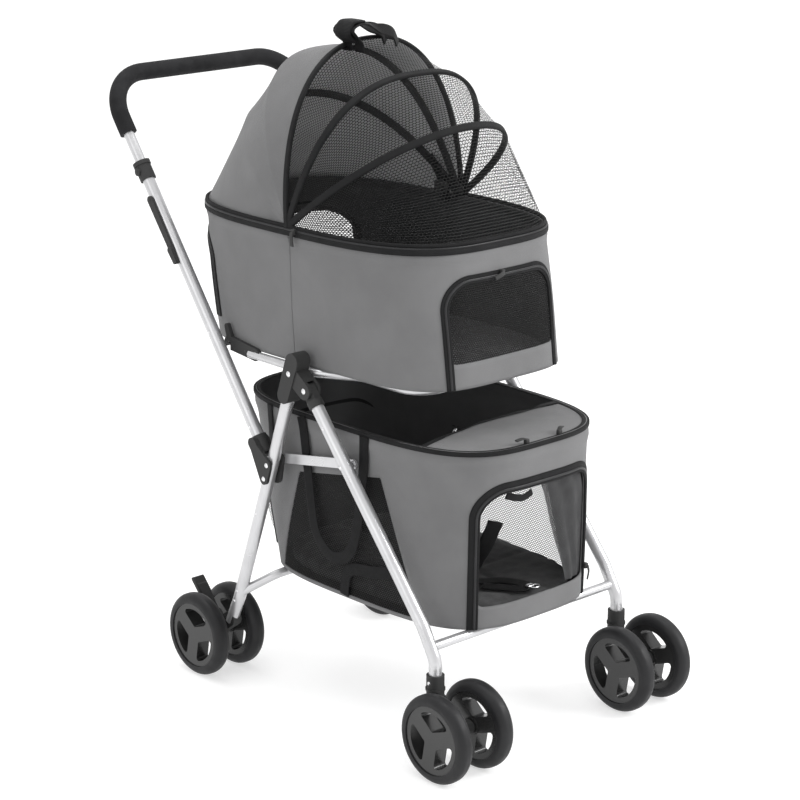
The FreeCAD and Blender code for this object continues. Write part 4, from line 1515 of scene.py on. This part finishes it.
        first = finished(
            "canopy_net_rear", self.stretched([MAIN_BOW.line(), MIDDLE_BOW.line()], self.net_sag), (NET,),
            Slot.NET, None, PIVOT, 0.0, ("canopy_mesh",),
        )
        second = finished(
            "canopy_net_middle", self.stretched([MIDDLE_BOW.line(), FRONT_BOW.line()], self.net_sag), (NET,),
            Slot.NET, None, PIVOT,
        )
        self.rows = 24
        front_lines = [FRONT_BOW.line(), self.rim_line(End.FRONT)]
        net = self.stretched(front_lines, self.front_sag, gathers)
        front = finished("canopy_net_front", net, (NET,), Slot.NET, "bow_front", PIVOT)
        self.declared(first)
        self.declared(second)
        self.declared(front)
        pairs = (
            (first, "upper_carrier", "bow_middle", -9.3, 0.029),
            (second, "bow_middle", "bow_front", -37.4, 0.034),
        )
        for piece, a, b, lean, half in pairs:
            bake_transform(piece)

    def sleeve(
        self, bow: Bow, name: str, body: str, size: Pair, shrink: float, replaces: Sequence[str],
        finish: Optional[Finish] = None,
    ) -> None:
        """The cloth sleeve that a bow runs in.

        Args:
            bow: the bow.
            name: the piece's name.
            body: what it rides on.
            size: the sleeve's width and thickness.
            shrink: how far inside the cloth it lies.
            replaces: the CAD nodes that it stands for.
            finish: its finish, if not the black binding.
        """
        mesh = swept(bow.line(shrink), band_section(*size), self.outward, 14)
        finished(name, mesh, (finish or BLACK_CLOTH,), Slot.SLEEVE, body, replaces=replaces)

    def pivots(self) -> None:
        """The two side plates that the bows turn on."""
        parts = []
        for side in (-1.0, 1.0):
            mesh = bmesh.new()
            mesh.loops.layers.uv.new("UVMap")
            bmesh.ops.create_cone(mesh, cap_ends=True, segments=32, radius1=0.013, radius2=0.011, depth=0.006)
            rim = [edge for edge in mesh.edges if not edge.is_boundary and edge.calc_face_angle(0.0) > 0.8]
            bmesh.ops.bevel(
                mesh, geom=rim, offset=0.0015, affect="EDGES", segments=3, profile=0.5, material=-1
            )
            for vert in mesh.verts:
                vert.co = Vector((side * (0.1965 + vert.co.z), PIVOT.y + vert.co.x, 0.8465 + vert.co.y))
            parts.append(mesh)
        finished("canopy_pivot_plates", merged(parts), (PLASTIC,), Slot.PLASTIC, "upper_carrier")

    def carry_straps(self) -> None:
        """Two webbing loops over the top, drawn up to a peak on the left."""
        for name, y, replaces in (
            ("carry_strap_front", -0.012, ("carry_straps",)), ("carry_strap_rear", 0.018, ())
        ):
            route = tuple(Vector((x, y + lean, self.crown + rise)) for x, lean, rise in self.strap_route)
            Strap(name, "upper_carrier", route, self.strap_facing, 0.022, 0.0034, replaces).make()
        wrap = tuple(Vector((x, 0.004, self.crown + rise)) for x, rise in self.wrap_route)
        Strap("carry_strap_wrap", "upper_carrier", wrap, self.strap_facing, 0.040, 0.0056).make()

    def strap_facing(self, point: Vector) -> Vector:
        """Which way the carry straps face: outwards, and twisted forwards to the right."""
        hub = Vector((-0.030, point.y, PIVOT.z + 0.296))
        twist = min(max((point.x + 0.040) / 0.050, 0.0), 1.0)
        return ((point - hub).normalized() + Vector((0.0, -1.2 * twist, 0.0))).normalized()

    def inner_strap(self) -> None:
        """The short strap and clip that hang inside by the right pivot."""
        route = tuple(Vector(spot) for spot in self.inner_route)
        Strap("canopy_inner_strap", "upper_carrier", route, lambda _: Vector((-1, 0, 0)), 0.020).make()
        clip = box_part(Vector((0.006, 0.030, 0.022)), Vector((0.178, 0.032, 0.850)), 0.002)
        finished("canopy_inner_clip", clip, (PLASTIC,), Slot.PLASTIC, "upper_carrier")


# ---------------------------------------------------------------- frame, wheels and studio


@dataclass
class FrameDressing:
    """Gives every CAD piece that stays in view its finish."""

    by_slot: dict[str, Finish] = field(
        default_factory=lambda: {
            Slot.TUBE.value: TUBE,
            Slot.PLASTIC.value: PLASTIC,
            Slot.STEEL.value: STEEL,
            Slot.BLACK_STEEL.value: BLACK_STEEL,
            Slot.FOAM.value: GRIP,
            Slot.TYRE.value: TYRE,
            Slot.HUB.value: HUB,
        }
    )

    def make(self) -> None:
        """Puts the finishes on the pieces' own material slots."""
        slots = {part["node"]: part["material_slot"] for part in frame["record"]["subparts"]}
        for node, piece in frame["nodes"].items():
            finish = self.by_slot.get(slots[node])
            if finish is None:
                continue
            piece.data.materials.clear()
            piece.data.materials.append(finish.material())
            LOG.info("%s: %s", node, finish.name)


@dataclass(frozen=True)
class Lamp:
    """A square soft light: its place, side and power."""

    name: str
    spot: Spot
    size: float
    power: float


LAMPS = (
    Lamp("key", (2.6, -3.6, 3.2), 2.2, 185.0),
    Lamp("left", (-4.2, -0.6, 2.2), 2.5, 18.0),
    Lamp("top", (0.0, 0.6, 4.2), 3.0, 75.0),
)
AIM = Vector((0.0, 0.0, 0.6))


@dataclass
class Studio:
    """A white room: floor, soft lights and the camera."""

    lens: float = 112.3
    spot: Vector = field(default_factory=lambda: Vector((-2.819, -3.103, 1.7255)))
    azimuth: float = -42.76
    elevation: float = 16.3

    def make(self) -> None:
        """Builds the floor, the lights and the camera."""
        self.floor()
        for lamp in LAMPS:
            self.light(lamp)
        scene = bpy.context.scene
        scene.view_settings.view_transform = "Standard"
        scene.world = scene.world or bpy.data.worlds.new("studio")
        scene.world.use_nodes = True
        background = scene.world.node_tree.nodes.get("Background")
        background.inputs["Color"].default_value = (1.0, 1.0, 1.0, 1.0)
        background.inputs["Strength"].default_value = 1.0
        self.camera()

    def floor(self) -> None:
        """A wide pale floor."""
        mesh = bmesh.new()
        bmesh.ops.create_grid(mesh, x_segments=4, y_segments=4, size=30.0)
        data = bpy.data.meshes.new("floor")
        mesh.to_mesh(data)
        mesh.free()
        floor = bpy.data.objects.new("floor", data)
        shader = Shader("studio_floor")
        shader.fix(roughness=0.9)
        shader.surface.inputs["Base Color"].default_value = (0.55, 0.55, 0.55, 1.0)
        shader.surface.inputs["Emission Color"].default_value = (1.0, 1.0, 1.0, 1.0)
        shader.surface.inputs["Emission Strength"].default_value = 0.55
        data.materials.append(shader.material)
        bpy.context.scene.collection.objects.link(floor)

    def light(self, lamp: Lamp) -> None:
        """A square soft light aimed at the stroller's middle.

        Args:
            lamp: where it stands, its size and its power.
        """
        data = bpy.data.lights.new(lamp.name, "AREA")
        data.shape = "SQUARE"
        data.size = lamp.size
        data.energy = lamp.power
        light = bpy.data.objects.new(lamp.name, data)
        light.location = Vector(lamp.spot)
        light.rotation_euler = (AIM - light.location).to_track_quat("-Z", "Y").to_euler()
        bpy.context.scene.collection.objects.link(light)

    def camera(self) -> None:
        """The camera, level and looking a little down at the front left corner."""
        data = bpy.data.cameras.new("camera")
        data.lens = self.lens
        data.sensor_width = 36.0
        data.clip_start, data.clip_end = 0.1, 100.0
        camera = bpy.data.objects.new("camera", data)
        turn, rise = math.radians(self.azimuth), math.radians(self.elevation)
        back = Vector((math.sin(turn) * math.cos(rise), -math.cos(turn) * math.cos(rise), math.sin(rise)))
        camera.location = self.spot
        camera.rotation_euler = (-back).to_track_quat("-Z", "Y").to_euler()
        bpy.context.scene.collection.objects.link(camera)
        bpy.context.scene.camera = camera


def main() -> None:
    """Builds the stroller's pieces in order."""
    logging.basicConfig(level=logging.INFO, format="%(name)s %(message)s")
    Studio().make()
    FrameDressing().make()
    UpperCarrier().make()
    LowerCarrier().make()
    Canopy().make()
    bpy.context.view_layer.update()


if __name__ == "__main__":
    main()
